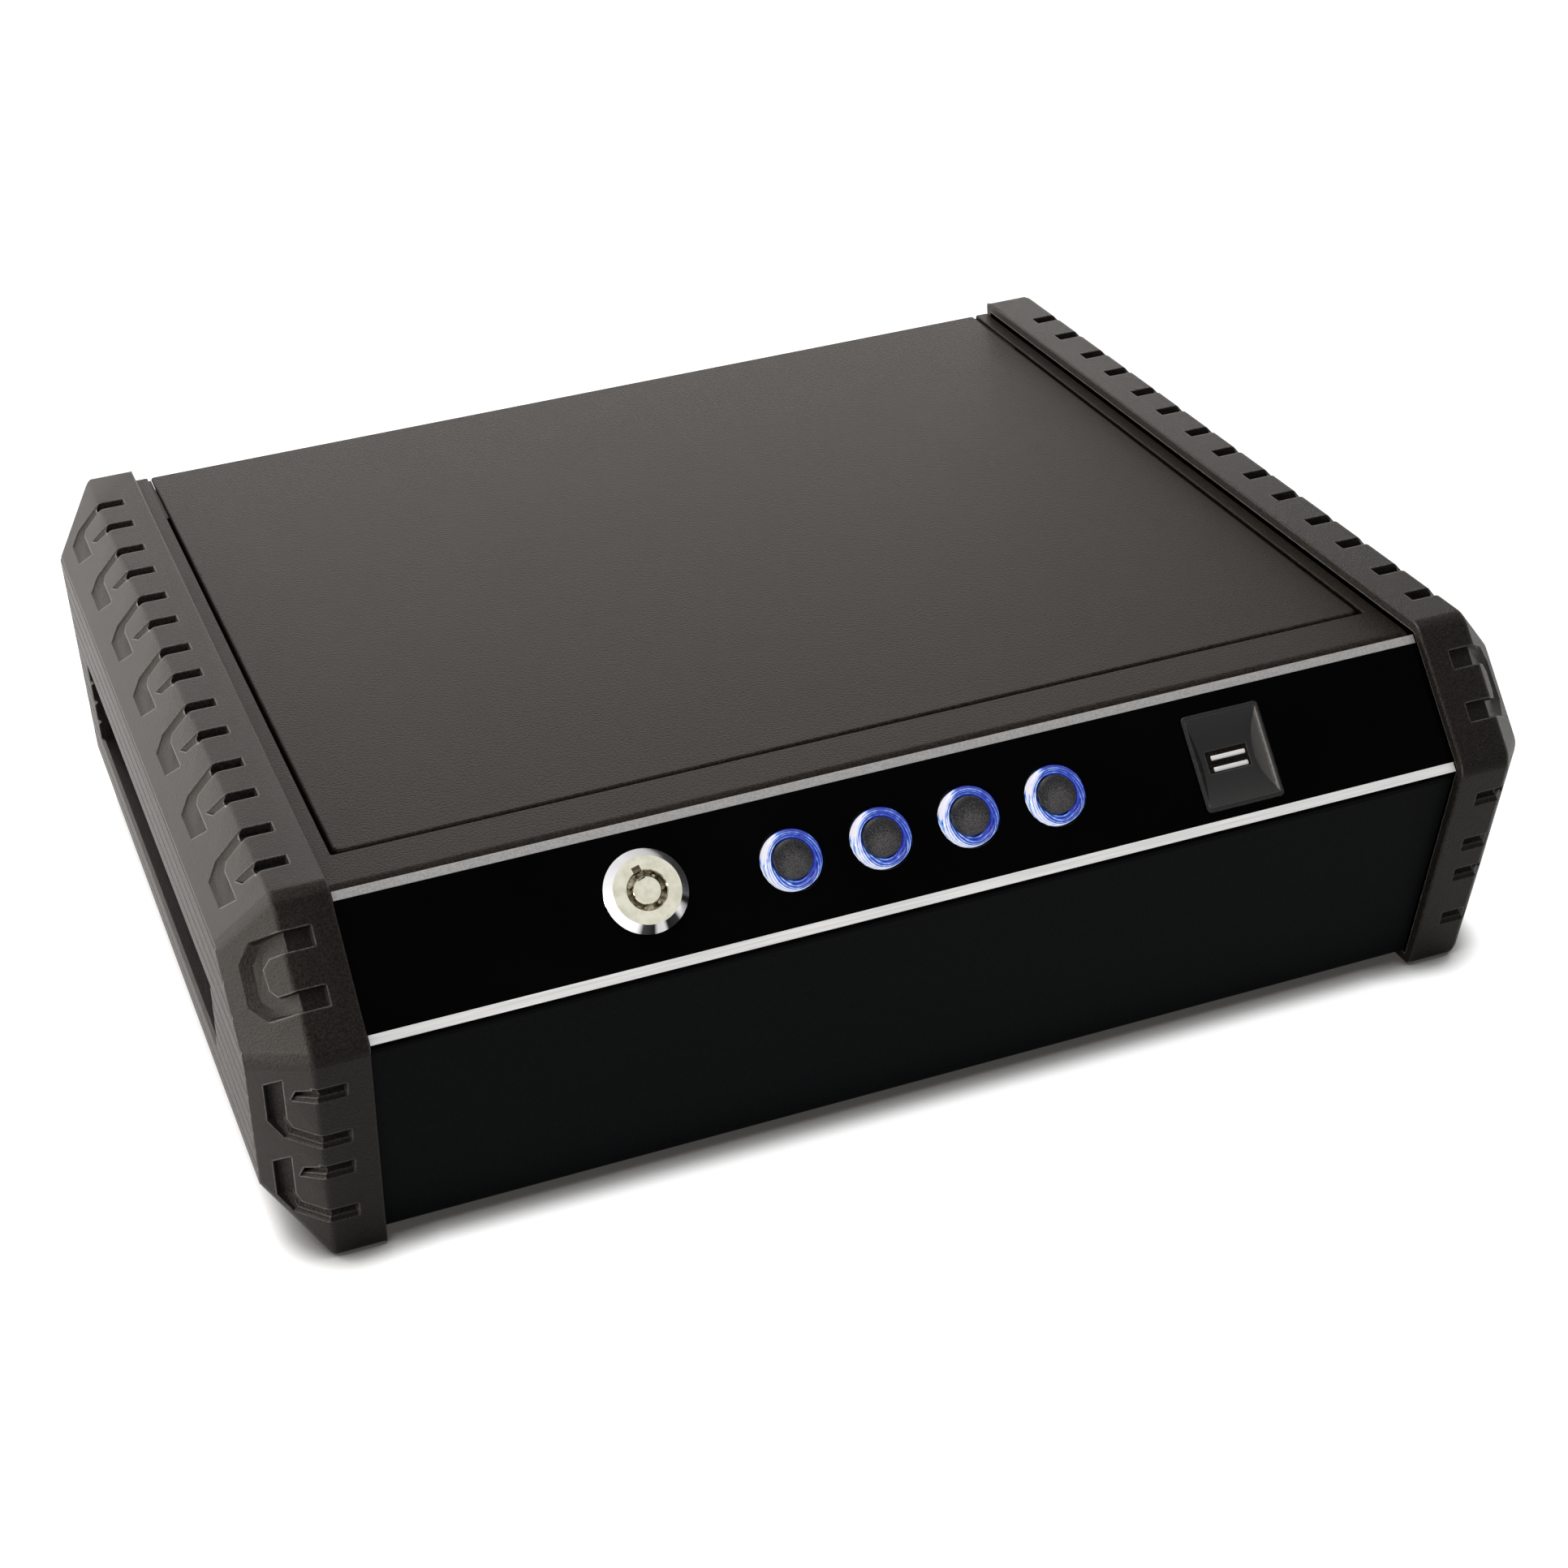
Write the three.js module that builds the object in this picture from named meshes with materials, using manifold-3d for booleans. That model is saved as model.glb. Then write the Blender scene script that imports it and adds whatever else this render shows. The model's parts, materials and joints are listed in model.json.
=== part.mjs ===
// Portable car safe: a steel box with a flush lid between two plastic bumpers, with a sloped
// keypad fascia at the front. Millimetres, X to the right, Y to the back, Z up.
// The origin lies on the floor under the middle of the safe.

import * as THREE from 'three';
import { mergeVertices } from 'three/addons/utils/BufferGeometryUtils.js';
import Module from 'manifold-3d';

const wasm = await Module();
wasm.setup();

// Sizes that everything follows

const safe = { width: 350, depth: 308.4, height: 105.5 };
const half = { width: safe.width / 2, depth: safe.depth / 2 };
const seatGap = 0.3; // between pieces that touch
const overrun = 1; // how far a cutter passes the face that it opens
const quarterTurn = Math.PI / 2;
const quarterShare = 0.25;
const weldShare = 0.0003; // of the seat gap: corners closer than this are one corner
const facetCounts = { smooth: 96, fine: 24, small: 16, screw: 12, hex: 6, bend: 4, crease: 3 };

// Bumper: its thickness to the ridge and to the side face, the corners of its profile, and how
// far each side of the profile is chamfered in
const bumper = {
  thickness: 28, chamferRun: 14, wall: 3, ridgeWall: 1.2,
  noseDrop: 32, topSetback: 25.7, footSetback: 23.1,
  bottomInset: 20, backInset: 17, topInset: 16.5, slopeInset: 18.8, frontInset: 15.5,
};
const rib = {
  grooveCount: 11, lowest: 20.4, topMargin: 0.6, grooveWidth: 1.4, grooveDepth: 0.8, endInset: 1.2,
};
const grip = { ribsBelowCount: 2, ribsOpenCount: 4, topFront: 65.4, lowFront: 77, back: 40.5, depth: 18 };
const tread = {
  depth: 1.5, width: 5.1, armLength: 7.6, miter: 0.7,
  topPitch: 37.25, topFirst: 15.4, pairGap: 17.6, endMargin: 14,
  frontPitch: 29.5, frontFirst: 12.5,
  backFirst: 17, hookOut: 11.2, hookLean: 2.3, hookReach: 15.8, hookInner: 9.8,
  hookTurn: 1.2, hookElbow: 8.2, hookLip: 0.9, hookEnd: 12.5, hookTip: 18,
  stubReach: 8, stubLean: 3.6, stubInner: 6.2,
  loopStart: 8.9, loopEnd: 28.6, loopOuter: 16.9, loopShoulder: 11.5, loopShoulderRun: 3.9,
  loopInner: 8.6, loopInnerShoulder: 5, loopInnerRun: 1.9,
};

// Steel body, set in from the bumper's profile
const body = {
  wall: 1.5, sideGap: 0.3, bottomInset: 3, backInset: 0.8, topInset: 4, faceInset: 3.2, frontInset: 3.2,
  rimRadius: 3.5, noseRadius: 1.2, footRadius: 2, rimWidth: 18.7, sideRim: 4.2, lipDepth: 8.3, lipWall: 1.5,
};
const fascia = { thickness: 2.1, rise: 0.6, length: 37.8, studRadius: 2.5 };
const strip = { width: 2.4, thickness: 1 };

// Lid and hinge
const lid = { wall: 1.5, gap: 1, flange: 7, cornerRadius: 2.5, flangeBack: 7.4 };
const hinge = {
  pinRadius: 1.5, knuckleRadius: 3, backInset: 2.8, drop: 5.3, leafWall: 1.5, leafDepth: 16, sideInset: 17.5,
  lidLeafLift: 2, lidLeafDepth: 15, endKnuckleShare: 0.32, springShare: 0.12, lidKnuckleShare: 0.32,
};
const liftSpring = { innerRadius: 1.9, outerRadius: 2.8 };
const foam = {
  lid: 6, floor: 4, lidInset: 3.5, lidFrontGap: 5.5, lidBackGap: 3.6, sideGap: 0.6, floorFrontGap: 2,
};

// Front compartment and its cover, measured from the front of the safe
const cover = {
  wall: 1.2, wallSetback: 63.2, topSetback: 42.2, sideGap: 0.3, flange: 11,
  slotHalfWidth: 3, slotFrontGap: 2, slotBackGap: 1.3, screwShare: 0.3, screwSetback: 6,
};
const cell = {
  rowCount: 2, columnCount: 2, radius: 7.2, length: 50.5, capRadius: 2.7, capHeight: 1, gap: 0.4,
};
const tray = { sideInset: 6.2, wall: 1.7, endGap: 1.05 };
const door = { inset: 3, sill: 3.2, wall: 1.8, lap: 4, tabWidth: 16, tabHeight: 2.4, tabDepth: 3 };

// Controls on the fascia, S down the slope from the top edge of the fascia plane. Their places
// across it are shares of the safe's half width
const button = {
  count: 4, middleShare: 0.0075, pitch: 23.87, slope: 18.2, travel: 1,
  ringRadius: 8, ringInner: 5.6, ringRise: 1.2, ringShoulderShares: [0.7, 0.6],
  capRadius: 5.1, capRise: 2.1, capShoulder: 1.1, capDomeShares: [0.9, 0.6], flangeRadius: 6.2, flange: 1.1,
  steelHole: 6.6, stemRadius: 2, stem: 0.7,
};
const switches = { size: 6, height: 3.5, plungerRadius: 1.7, plunger: 0.8 };
const board = { pressGap: 0.2, thickness: 1.6, endMargin: 14, top: 5, low: 31, studInset: 4.3, studS: 9 };
const lock = {
  placeShare: -0.415, slope: 17.4, headRadius: 10.7, headFace: 8.6, headEdge: 1.9, headRise: 3.3,
  barrelRadius: 9.3, barrelDepth: 22, bore: 5.25, plugRadius: 4.95, plugDepth: 24,
  postRadius: 3.35, postRise: 3, keyway: 4.5, notchWidth: 2, notchDepth: 1.3, postNotch: 0.9,
  nutRadius: 14, nutHeight: 4, tailRadius: 3, tailDepth: 27, tailBore: 1.8, tailBoreDepth: 6,
};
const cam = {
  radius: 6, thickness: 2.5, throwRadius: 9, pegRadius: 2, pegBoss: 3.4, pegEnd: 30.3, armWidth: 6.4,
  screwHead: 3.2, screwHeadHeight: 1.5, screwShank: 1.5, screwLength: 4.5,
};
const reader = {
  placeShare: 0.494, width: 22.2, top: 6.6, low: 32.6, rise: 0.8, lip: 2, bodyInset: 1.2, bodyDepth: 12,
  scoopDepth: 3.2, scoopRadius: 30, sensorCentre: 19.5, sensorHalfWidth: 5.4,
  barHeight: 1.9, barHalfWidth: 5.6, barSpacing: 3.4, pocket: 1.4, boardThickness: 1.6,
};

// Latch: the bolt's place is measured from the front and from the rim
const bolt = {
  setback: 54.2, drop: 17.5, width: 6, height: 7, leftReach: 11, strikerGap: 4.5, forkWidth: 11, forkGap: 0.5,
  plateDepth: 27.5, plateThickness: 2.5, plateTop: -3, plateLow: 13.3, slotTop: 5.6,
  gussetReach: 6, gussetBack: 1, gussetDrop: 2,
};
const bracket = {
  forkClear: 4, middleReach: 12, endGap: 2.3, wall: 1.5, reach: 6, under: 6.5, over: 6.8, boreGap: 0.4,
};
const striker = {
  wall: 3, frontReach: 6, backReach: 6.5, under: 8, bar: 3.5, gap: 0.8, footHalfWidth: 12, foot: 1.5,
};
const solenoid = { sideInset: 5.2, width: 17, height: 14.4, bore: 4, plungerRadius: 3.6, seat: 3 };
const collar = { radius: 5.6, width: 2, boltGap: 3 };
const returnSpring = { innerRadius: 4, outerRadius: 5.2, length: 13 };
const bumperScrew = {
  frontSetback: 54.2, backSetback: 34.2, topDrop: 25.5, middle: 10, low: 20,
  head: 4, headHeight: 2.2, shank: 1.9, length: 14, hole: 2.3, boss: 5,
};
const coverScrew = { head: 3.2, headHeight: 1.8, shank: 1.4, length: 4, hole: 1.7 };

// Geometry helpers

function solidOf(geometry) {
  const bare = new THREE.BufferGeometry();
  bare.setAttribute('position', geometry.getAttribute('position'));
  bare.setIndex(geometry.getIndex());
  const merged = mergeVertices(bare, seatGap * weldShare);
  const index = merged.getIndex().array;
  const corners = [];
  for (let i = 0; i < index.length; i += 3) {
    const [a, b, c] = [index[i], index[i + 1], index[i + 2]];
    if (a !== b && b !== c && c !== a) corners.push(a, b, c);
  }
  const mesh = new wasm.Mesh({
    numProp: 3,
    vertProperties: new Float32Array(merged.getAttribute('position').array),
    triVerts: new Uint32Array(corners),
  });
  mesh.merge();
  return new wasm.Manifold(mesh);
}

function geometryOf(solid) {
  const mesh = solid.getMesh();
  const geometry = new THREE.BufferGeometry();
  geometry.setAttribute('position', new THREE.BufferAttribute(new Float32Array(mesh.vertProperties), 3));
  geometry.setIndex(new THREE.BufferAttribute(new Uint32Array(mesh.triVerts), 1));
  geometry.computeVertexNormals();
  return geometry;
}

function joined(...geometries) {
  return geometryOf(geometries.map(solidOf).reduce((sum, next) => sum.add(next)));
}

function cutBy(geometry, ...cutters) {
  return geometryOf(cutters.map(solidOf).reduce((left, next) => left.subtract(next), solidOf(geometry)));
}

function mirrored(geometry) {
  const copy = geometry.clone().applyMatrix4(new THREE.Matrix4().makeScale(-1, 1, 1));
  const index = copy.getIndex().array;
  for (let i = 0; i < index.length; i += 3) {
    [index[i + 1], index[i + 2]] = [index[i + 2], index[i + 1]];
  }
  copy.computeVertexNormals();
  return copy;
}

function slab(x0, x1, y0, y1, z0, z1) {
  const geometry = new THREE.BoxGeometry(x1 - x0, y1 - y0, z1 - z0);
  return geometry.translate((x0 + x1) / 2, (y0 + y1) / 2, (z0 + z1) / 2);
}

function shapeOf(points) {
  return new THREE.Shape(points.map(([a, b]) => new THREE.Vector2(a, b)));
}

function extruded(points, from, to) {
  const geometry = new THREE.ExtrudeGeometry(shapeOf(points), { depth: to - from, bevelEnabled: false });
  return geometry.translate(0, 0, from);
}

// An outline in the YZ plane, extruded along X
function alongX(points, x0, x1) {
  const turn = new THREE.Matrix4().set(0, 0, 1, 0, 1, 0, 0, 0, 0, 1, 0, 0, 0, 0, 0, 1);
  return extruded(points, x0, x1).applyMatrix4(turn);
}

// An outline of [z, x] points, extruded along Y
function alongY(points, y0, y1) {
  const turn = new THREE.Matrix4().set(0, 1, 0, 0, 0, 0, 1, 0, 1, 0, 0, 0, 0, 0, 0, 1);
  return extruded(points, y0, y1).applyMatrix4(turn);
}

// A turned piece about Z, from a profile of [radius, z] points
function turned(profile, count) {
  const points = profile.map(([radius, z]) => new THREE.Vector2(radius, z));
  return new THREE.LatheGeometry(points, count).rotateX(quarterTurn);
}

function rod(radius, z0, z1, count) {
  return turned([[0, z0], [radius, z0], [radius, z1], [0, z1]], count);
}

function tube(inner, outer, z0, z1, count) {
  return turned([[inner, z0], [outer, z0], [outer, z1], [inner, z1], [inner, z0]], count);
}

function zToX(geometry) {
  return geometry.rotateY(quarterTurn);
}

// Each side of a closed outline moved inwards by its own distance
function insetOutline(points, distances) {
  const lines = points.map((p, i) => {
    const q = points[(i + 1) % points.length];
    const run = new THREE.Vector2(q[0] - p[0], q[1] - p[1]).normalize();
    const start = new THREE.Vector2(p[0] - run.y * distances[i], p[1] + run.x * distances[i]);
    return { run, start };
  });
  return lines.map((line, i) => {
    const before = lines[(i + lines.length - 1) % lines.length];
    const apart = line.start.clone().sub(before.start);
    const along = apart.cross(line.run) / before.run.cross(line.run);
    const corner = before.start.clone().addScaledVector(before.run, along);
    return [corner.x, corner.y];
  });
}

// One corner of an outline replaced by an arc
function roundedCorner(points, at, radius, steps) {
  const corner = new THREE.Vector2(...points[at]);
  const towards = (i) => new THREE.Vector2(...points[i % points.length]).sub(corner).normalize();
  const before = towards(at + points.length - 1);
  const after = towards(at + 1);
  const half = Math.acos(before.dot(after)) / 2;
  const centre = before.clone().add(after).normalize().multiplyScalar(radius / Math.sin(half)).add(corner);
  const start = before.clone().multiplyScalar(radius / Math.tan(half)).add(corner).sub(centre);
  const sweep = (Math.PI - 2 * half) * Math.sign(after.cross(before));
  const arc = [];
  for (let i = 0; i <= steps; i += 1) {
    const spoke = start.clone().rotateAround(new THREE.Vector2(), sweep * i / steps);
    arc.push([centre.x + spoke.x, centre.y + spoke.y]);
  }
  return [...points.slice(0, at), ...arc, ...points.slice(at + 1)];
}

// A closed skin over rings with equally many corners
function lofted(rings) {
  const count = rings[0].length;
  const corners = [];
  for (let r = 0; r + 1 < rings.length; r += 1) {
    for (let i = 0; i < count; i += 1) {
      const j = (i + 1) % count;
      corners.push(rings[r][i], rings[r][j], rings[r + 1][j]);
      corners.push(rings[r][i], rings[r + 1][j], rings[r + 1][i]);
    }
  }
  const first = rings[0];
  const last = rings[rings.length - 1];
  for (let i = 1; i + 1 < count; i += 1) {
    corners.push(first[0], first[i + 1], first[i]);
    corners.push(last[0], last[i], last[i + 1]);
  }
  const geometry = new THREE.BufferGeometry();
  geometry.setAttribute('position', new THREE.Float32BufferAttribute(corners.flat(), 3));
  return mergeVertices(geometry);
}

// Outlines that several pieces share

const bumperOutline = [
  [-half.depth + bumper.footSetback, 0],
  [half.depth, 0],
  [half.depth, safe.height],
  [-half.depth + bumper.topSetback, safe.height],
  [-half.depth, safe.height - bumper.noseDrop],
];
const bumperChamfers = [
  bumper.bottomInset, bumper.backInset, bumper.topInset, bumper.slopeInset, bumper.frontInset,
];
const [bottomSide, backSide, topSide, slopeSide, frontSide] = bumperOutline.keys();

const innerX = half.width - bumper.thickness;
const ridgeX = half.width - bumper.chamferRun;
const steelSlopeInset = body.faceInset + fascia.thickness + seatGap;
const bodyInsets = [body.bottomInset, body.backInset, body.topInset, steelSlopeInset, body.frontInset];
const bodyCorners = insetOutline(bumperOutline, bodyInsets);
const cavityCorners = insetOutline(bumperOutline, bodyInsets.map((inset) => inset + body.wall));
const facePlane = insetOutline(bumperOutline, [
  body.bottomInset, body.backInset, body.topInset, body.faceInset, body.frontInset,
]);

const bodyHalf = innerX - body.sideGap;
const rimTop = safe.height - body.topInset;
const bodyBack = half.depth - body.backInset;
const floorTop = body.bottomInset + body.wall;
const cavityHalf = bodyHalf - body.wall;
const cavityBack = bodyBack - body.wall;

// The fascia's frame: its origin on the fascia plane at the height of the rim, local X across,
// local Y up the slope and local Z out of it
const faceOrigin = new THREE.Vector3(0, ...facePlane[slopeSide]);
const slopeRun = new THREE.Vector2(
  bumperOutline[frontSide][0] - bumperOutline[slopeSide][0],
  bumperOutline[frontSide][1] - bumperOutline[slopeSide][1],
).normalize();
const slopeTurn = Math.atan2(-slopeRun.y, -slopeRun.x);
const faceFrame = new THREE.Matrix4().makeRotationX(slopeTurn).setPosition(faceOrigin);
const steelDepth = fascia.thickness + seatGap;
const steelBack = steelDepth + body.wall;

// Lid opening
const openingHalf = bodyHalf - body.sideRim;
const openingFront = facePlane[slopeSide][0] + body.rimWidth;
const lipBottom = rimTop - body.lipDepth;
const hingeY = bodyBack - hinge.backInset;
const hingeZ = rimTop - hinge.drop;
const wallTop = hingeZ - hinge.knuckleRadius - seatGap;
const lidFront = openingFront + lid.gap;
const lidHalf = openingHalf - lid.gap;
const lidUnder = rimTop - lid.wall;
const hingeHalf = openingHalf - hinge.sideInset;

// Places across the fascia
const lockX = half.width * lock.placeShare;
const buttonMiddle = half.width * button.middleShare;
const buttonPlaces = Array.from({ length: button.count }, (_, i) => (
  buttonMiddle + button.pitch * (i - (button.count - 1) / 2)
));
const capStemEnd = fascia.thickness + seatGap + button.flange + button.stem;
const boardDepth = capStemEnd + button.travel + board.pressGap + switches.plunger + switches.height + seatGap;
const boardLeft = buttonPlaces[0] - board.endMargin;
const boardRight = buttonPlaces[button.count - 1] + board.endMargin;
const readerMiddle = half.width * reader.placeShare;
const readerLeft = readerMiddle - reader.width / 2;
const readerRight = readerMiddle + reader.width / 2;

// Front compartment
const coverFront = -half.depth + cover.wallSetback;
const coverBack = coverFront + cover.wall;
const compartmentBack = coverFront - seatGap;
const cellSpacing = 2 * cell.radius + cell.gap;
const trayLow = floorTop + seatGap;
const trayRoom = 2 * (seatGap + tray.wall + cell.radius);
const trayFront = compartmentBack - trayRoom - cellSpacing * (cell.columnCount - 1);
const trayTop = trayLow + trayRoom + cellSpacing * (cell.rowCount - 1);
const trayLeft = -cavityHalf + tray.sideInset;
const trayRight = trayLeft + 2 * (tray.wall + tray.endGap) + cell.length;
const doorway = {
  left: trayLeft + door.inset, right: trayRight - door.inset,
  low: trayLow + door.sill, high: trayTop - door.inset,
};

// Latch
const boltY = -half.depth + bolt.setback;
const boltZ = rimTop - bolt.drop;
const boltThrow = cam.throwRadius * Math.SQRT2;
const forkX = lockX - boltThrow / 2;
const boltLeft = forkX - bolt.leftReach;
const boltRight = -striker.wall / 2 - bolt.strikerGap;
const collarLeft = boltLeft - collar.boltGap - collar.width;
const solenoidRight = collarLeft - returnSpring.length;
const solenoidLeft = -cavityHalf + solenoid.sideInset;
const strikerFront = boltY - striker.frontReach;
const strikerBack = boltY + striker.backReach;
const bumperScrewPlaces = [
  [-half.depth + bumperScrew.frontSetback, safe.height - bumperScrew.topDrop],
  [half.depth - bumperScrew.backSetback, safe.height - bumperScrew.topDrop],
  [bumperScrew.middle, bumperScrew.low],
];

// Bumper

// A flat band of the bumper and the chamfer beside it, as frames with X along the edge from its
// corner, Y outwards across it, and Z square to it
function bandFrames(from, to, outlineSide) {
  const start = bumperOutline[from];
  const end = bumperOutline[to];
  const run = new THREE.Vector3(0, end[0] - start[0], end[1] - start[1]).normalize();
  const across = new THREE.Vector3(1, 0, 0);
  const inward = insideOf(outlineSide);
  const chamferAcross = across.clone().multiplyScalar(half.width - ridgeX)
    .addScaledVector(inward, bumperChamfers[outlineSide]).normalize();
  const origin = new THREE.Vector3(ridgeX, ...start);
  const frame = (sideways) => {
    const square = run.clone().cross(sideways);
    const outwards = square.dot(inward) < 0;
    return { matrix: new THREE.Matrix4().makeBasis(run, sideways, square).setPosition(origin), outwards };
  };
  const length = Math.hypot(end[0] - start[0], end[1] - start[1]);
  return { band: frame(across), chamfer: frame(chamferAcross), length };
}

function insideOf(outlineSide) {
  const start = bumperOutline[outlineSide];
  const end = bumperOutline[(outlineSide + 1) % bumperOutline.length];
  return new THREE.Vector3(0, start[1] - end[1], end[0] - start[0]).normalize();
}

function sunk(outline, frame) {
  const from = frame.outwards ? -tread.depth : -overrun;
  const to = frame.outwards ? overrun : tread.depth;
  return extruded(outline, from, to).applyMatrix4(frame.matrix);
}

function armCutter(band, at) {
  const halfWidth = tread.width / 2;
  return sunk([
    [at - halfWidth, -tread.armLength], [at + halfWidth, -tread.armLength],
    [at + halfWidth, tread.miter], [at - halfWidth, tread.miter],
  ], band);
}

// The long mark: its groove runs out over the chamfer, then turns back towards the corner
function hookCutters(frames, at) {
  const halfWidth = tread.width / 2;
  const outline = [
    [at - halfWidth, -tread.miter],
    [at + halfWidth, -tread.miter],
    [at + halfWidth + tread.hookLean, tread.hookOut],
    [at + tread.hookTurn, tread.hookReach],
    [at - tread.hookEnd, tread.hookReach],
    [at - tread.hookTip, tread.hookInner],
    [at - halfWidth - tread.hookLip, tread.hookInner],
    [at - tread.hookLip, tread.hookElbow],
  ];
  return [armCutter(frames.band, at), sunk(outline, frames.chamfer)];
}

// The short mark: a groove with a slanted end
function stubCutters(frames, at) {
  const halfWidth = tread.width / 2;
  const outline = [
    [at - halfWidth, -tread.miter],
    [at + halfWidth, -tread.miter],
    [at + halfWidth + tread.stubLean, tread.stubReach],
    [at - halfWidth + tread.stubLean, tread.stubInner],
  ];
  return [armCutter(frames.band, at), sunk(outline, frames.chamfer)];
}

// The loop on the front slope: two arms joined round the chamfer
function loopCutters(frames) {
  const outline = [
    [tread.loopStart, -tread.miter],
    [tread.loopStart, tread.loopShoulder],
    [tread.loopStart + tread.loopShoulderRun, tread.loopOuter],
    [tread.loopEnd - tread.loopShoulderRun, tread.loopOuter],
    [tread.loopEnd, tread.loopShoulder],
    [tread.loopEnd, -tread.miter],
    [tread.loopEnd - tread.width, -tread.miter],
    [tread.loopEnd - tread.width, tread.loopInnerShoulder],
    [tread.loopEnd - tread.width - tread.loopInnerRun, tread.loopInner],
    [tread.loopStart + tread.width + tread.loopInnerRun, tread.loopInner],
    [tread.loopStart + tread.width, tread.loopInnerShoulder],
    [tread.loopStart + tread.width, -tread.miter],
  ];
  const halfWidth = tread.width / 2;
  return [
    armCutter(frames.band, tread.loopStart + halfWidth),
    armCutter(frames.band, tread.loopEnd - halfWidth),
    sunk(outline, frames.chamfer),
  ];
}

// As many pairs of marks, a short one and a long one, as the edge has room for
function pairCutters(frames, first, pitch) {
  const cutters = [];
  const last = frames.length - tread.endMargin - tread.pairGap;
  for (let at = first; at < last; at += pitch) {
    cutters.push(...stubCutters(frames, at), ...hookCutters(frames, at + tread.pairGap));
  }
  return cutters;
}

function treadCutters() {
  const top = bandFrames(slopeSide, topSide, topSide);
  const slope = bandFrames(slopeSide, frontSide, slopeSide);
  const front = bandFrames(frontSide, bottomSide, frontSide);
  const back = bandFrames(topSide, backSide, backSide);
  return [
    ...pairCutters(top, tread.topFirst, tread.topPitch),
    ...loopCutters(slope),
    ...pairCutters(front, tread.frontFirst, tread.frontPitch),
    ...pairCutters(back, tread.backFirst, tread.frontPitch),
  ];
}

const ribPitch = (safe.height - bumper.topInset - rib.topMargin - rib.lowest) / (rib.grooveCount - 1);
const gripLow = rib.lowest + ribPitch * grip.ribsBelowCount;
const gripTop = gripLow + ribPitch * grip.ribsOpenCount;

// The hand slot's outline, with a leaning front end
function gripOutline(margin) {
  return [
    [-half.depth + grip.lowFront - margin, gripLow - margin],
    [half.depth - grip.back + margin, gripLow - margin],
    [half.depth - grip.back + margin, gripTop + margin],
    [-half.depth + grip.topFront - margin, gripTop + margin],
  ];
}

const sideOutline = insetOutline(bumperOutline, bumperChamfers);

// V grooves between the ribs of the side face, from its front edge to its back edge
function ribCutters() {
  const cutters = [];
  const halfWidth = rib.grooveWidth / 2;
  for (let i = 0; i < rib.grooveCount; i += 1) {
    const z = rib.lowest + ribPitch * i;
    const groove = [
      [z - rib.grooveWidth, half.width + rib.grooveDepth],
      [z - halfWidth, half.width],
      [z, half.width - rib.grooveDepth],
      [z + halfWidth, half.width],
      [z + rib.grooveWidth, half.width + rib.grooveDepth],
    ];
    const [front, back] = crossings(sideOutline, z);
    cutters.push(alongY(groove, front + rib.endInset, back - rib.endInset));
  }
  return cutters;
}

// Where a level line enters and leaves an outline
function crossings(outline, level) {
  const found = [];
  outline.forEach((p, i) => {
    const q = outline[(i + 1) % outline.length];
    if ((p[1] - level) * (q[1] - level) < 0) {
      found.push(p[0] + (q[0] - p[0]) * (level - p[1]) / (q[1] - p[1]));
    }
  });
  return found.sort((a, b) => a - b);
}

function bumperGeometry() {
  const at = (outline, x) => outline.map(([y, z]) => [x, y, z]);
  const outer = lofted([
    at(bumperOutline, innerX), at(bumperOutline, ridgeX), at(sideOutline, half.width),
  ]);
  const walls = bumperOutline.map(() => bumper.wall);
  const hollowOutline = insetOutline(bumperOutline, walls);
  const hollowSide = insetOutline(bumperOutline, bumperChamfers.map((inset) => inset + bumper.wall));
  let hollow = lofted([
    at(hollowOutline, innerX - overrun), at(hollowOutline, ridgeX - bumper.ridgeWall),
    at(hollowSide, half.width - bumper.wall),
  ]);
  const pocketX = half.width - grip.depth;
  hollow = cutBy(
    hollow,
    alongX(gripOutline(bumper.wall), pocketX - bumper.wall, half.width),
    ...bumperScrewPlaces.map(([y, z]) => (
      zToX(rod(bumperScrew.boss, innerX - 2 * overrun, half.width, facetCounts.screw)).translate(0, y, z)
    )),
  );
  const pilots = bumperScrewPlaces.map(([y, z]) => (
    zToX(rod(bumperScrew.hole, innerX - overrun, innerX + bumperScrew.length, facetCounts.screw))
      .translate(0, y, z)
  ));
  const pocket = alongX(gripOutline(0), pocketX, half.width + overrun);
  return cutBy(outer, hollow, pocket, ...pilots, ...ribCutters(), ...treadCutters());
}

function bumperScrewGeometry() {
  const headTop = cavityHalf - seatGap;
  const end = innerX + bumperScrew.length - overrun;
  return zToX(turned([
    [0, headTop - bumperScrew.headHeight], [bumperScrew.head, headTop - bumperScrew.headHeight],
    [bumperScrew.head, headTop], [bumperScrew.shank, headTop], [bumperScrew.shank, end], [0, end],
  ], facetCounts.screw));
}

// Steel body

function onFace(geometry, x, s) {
  return geometry.translate(x, -s, 0).applyMatrix4(faceFrame);
}

function faceHole(radius, x, s, count) {
  return onFace(rod(radius, -steelBack - overrun, overrun, count), x, s);
}

function studPlaces() {
  return [boardLeft + board.studInset, boardRight - board.studInset].flatMap((x) => [
    [x, board.studS], [x, board.low - (board.studS - board.top)],
  ]);
}

function readerHole(margin) {
  const inset = reader.bodyInset - margin;
  return slab(
    readerLeft + inset, readerRight - inset, -reader.low + inset, -reader.top - inset,
    -steelBack - overrun, overrun,
  );
}

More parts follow.
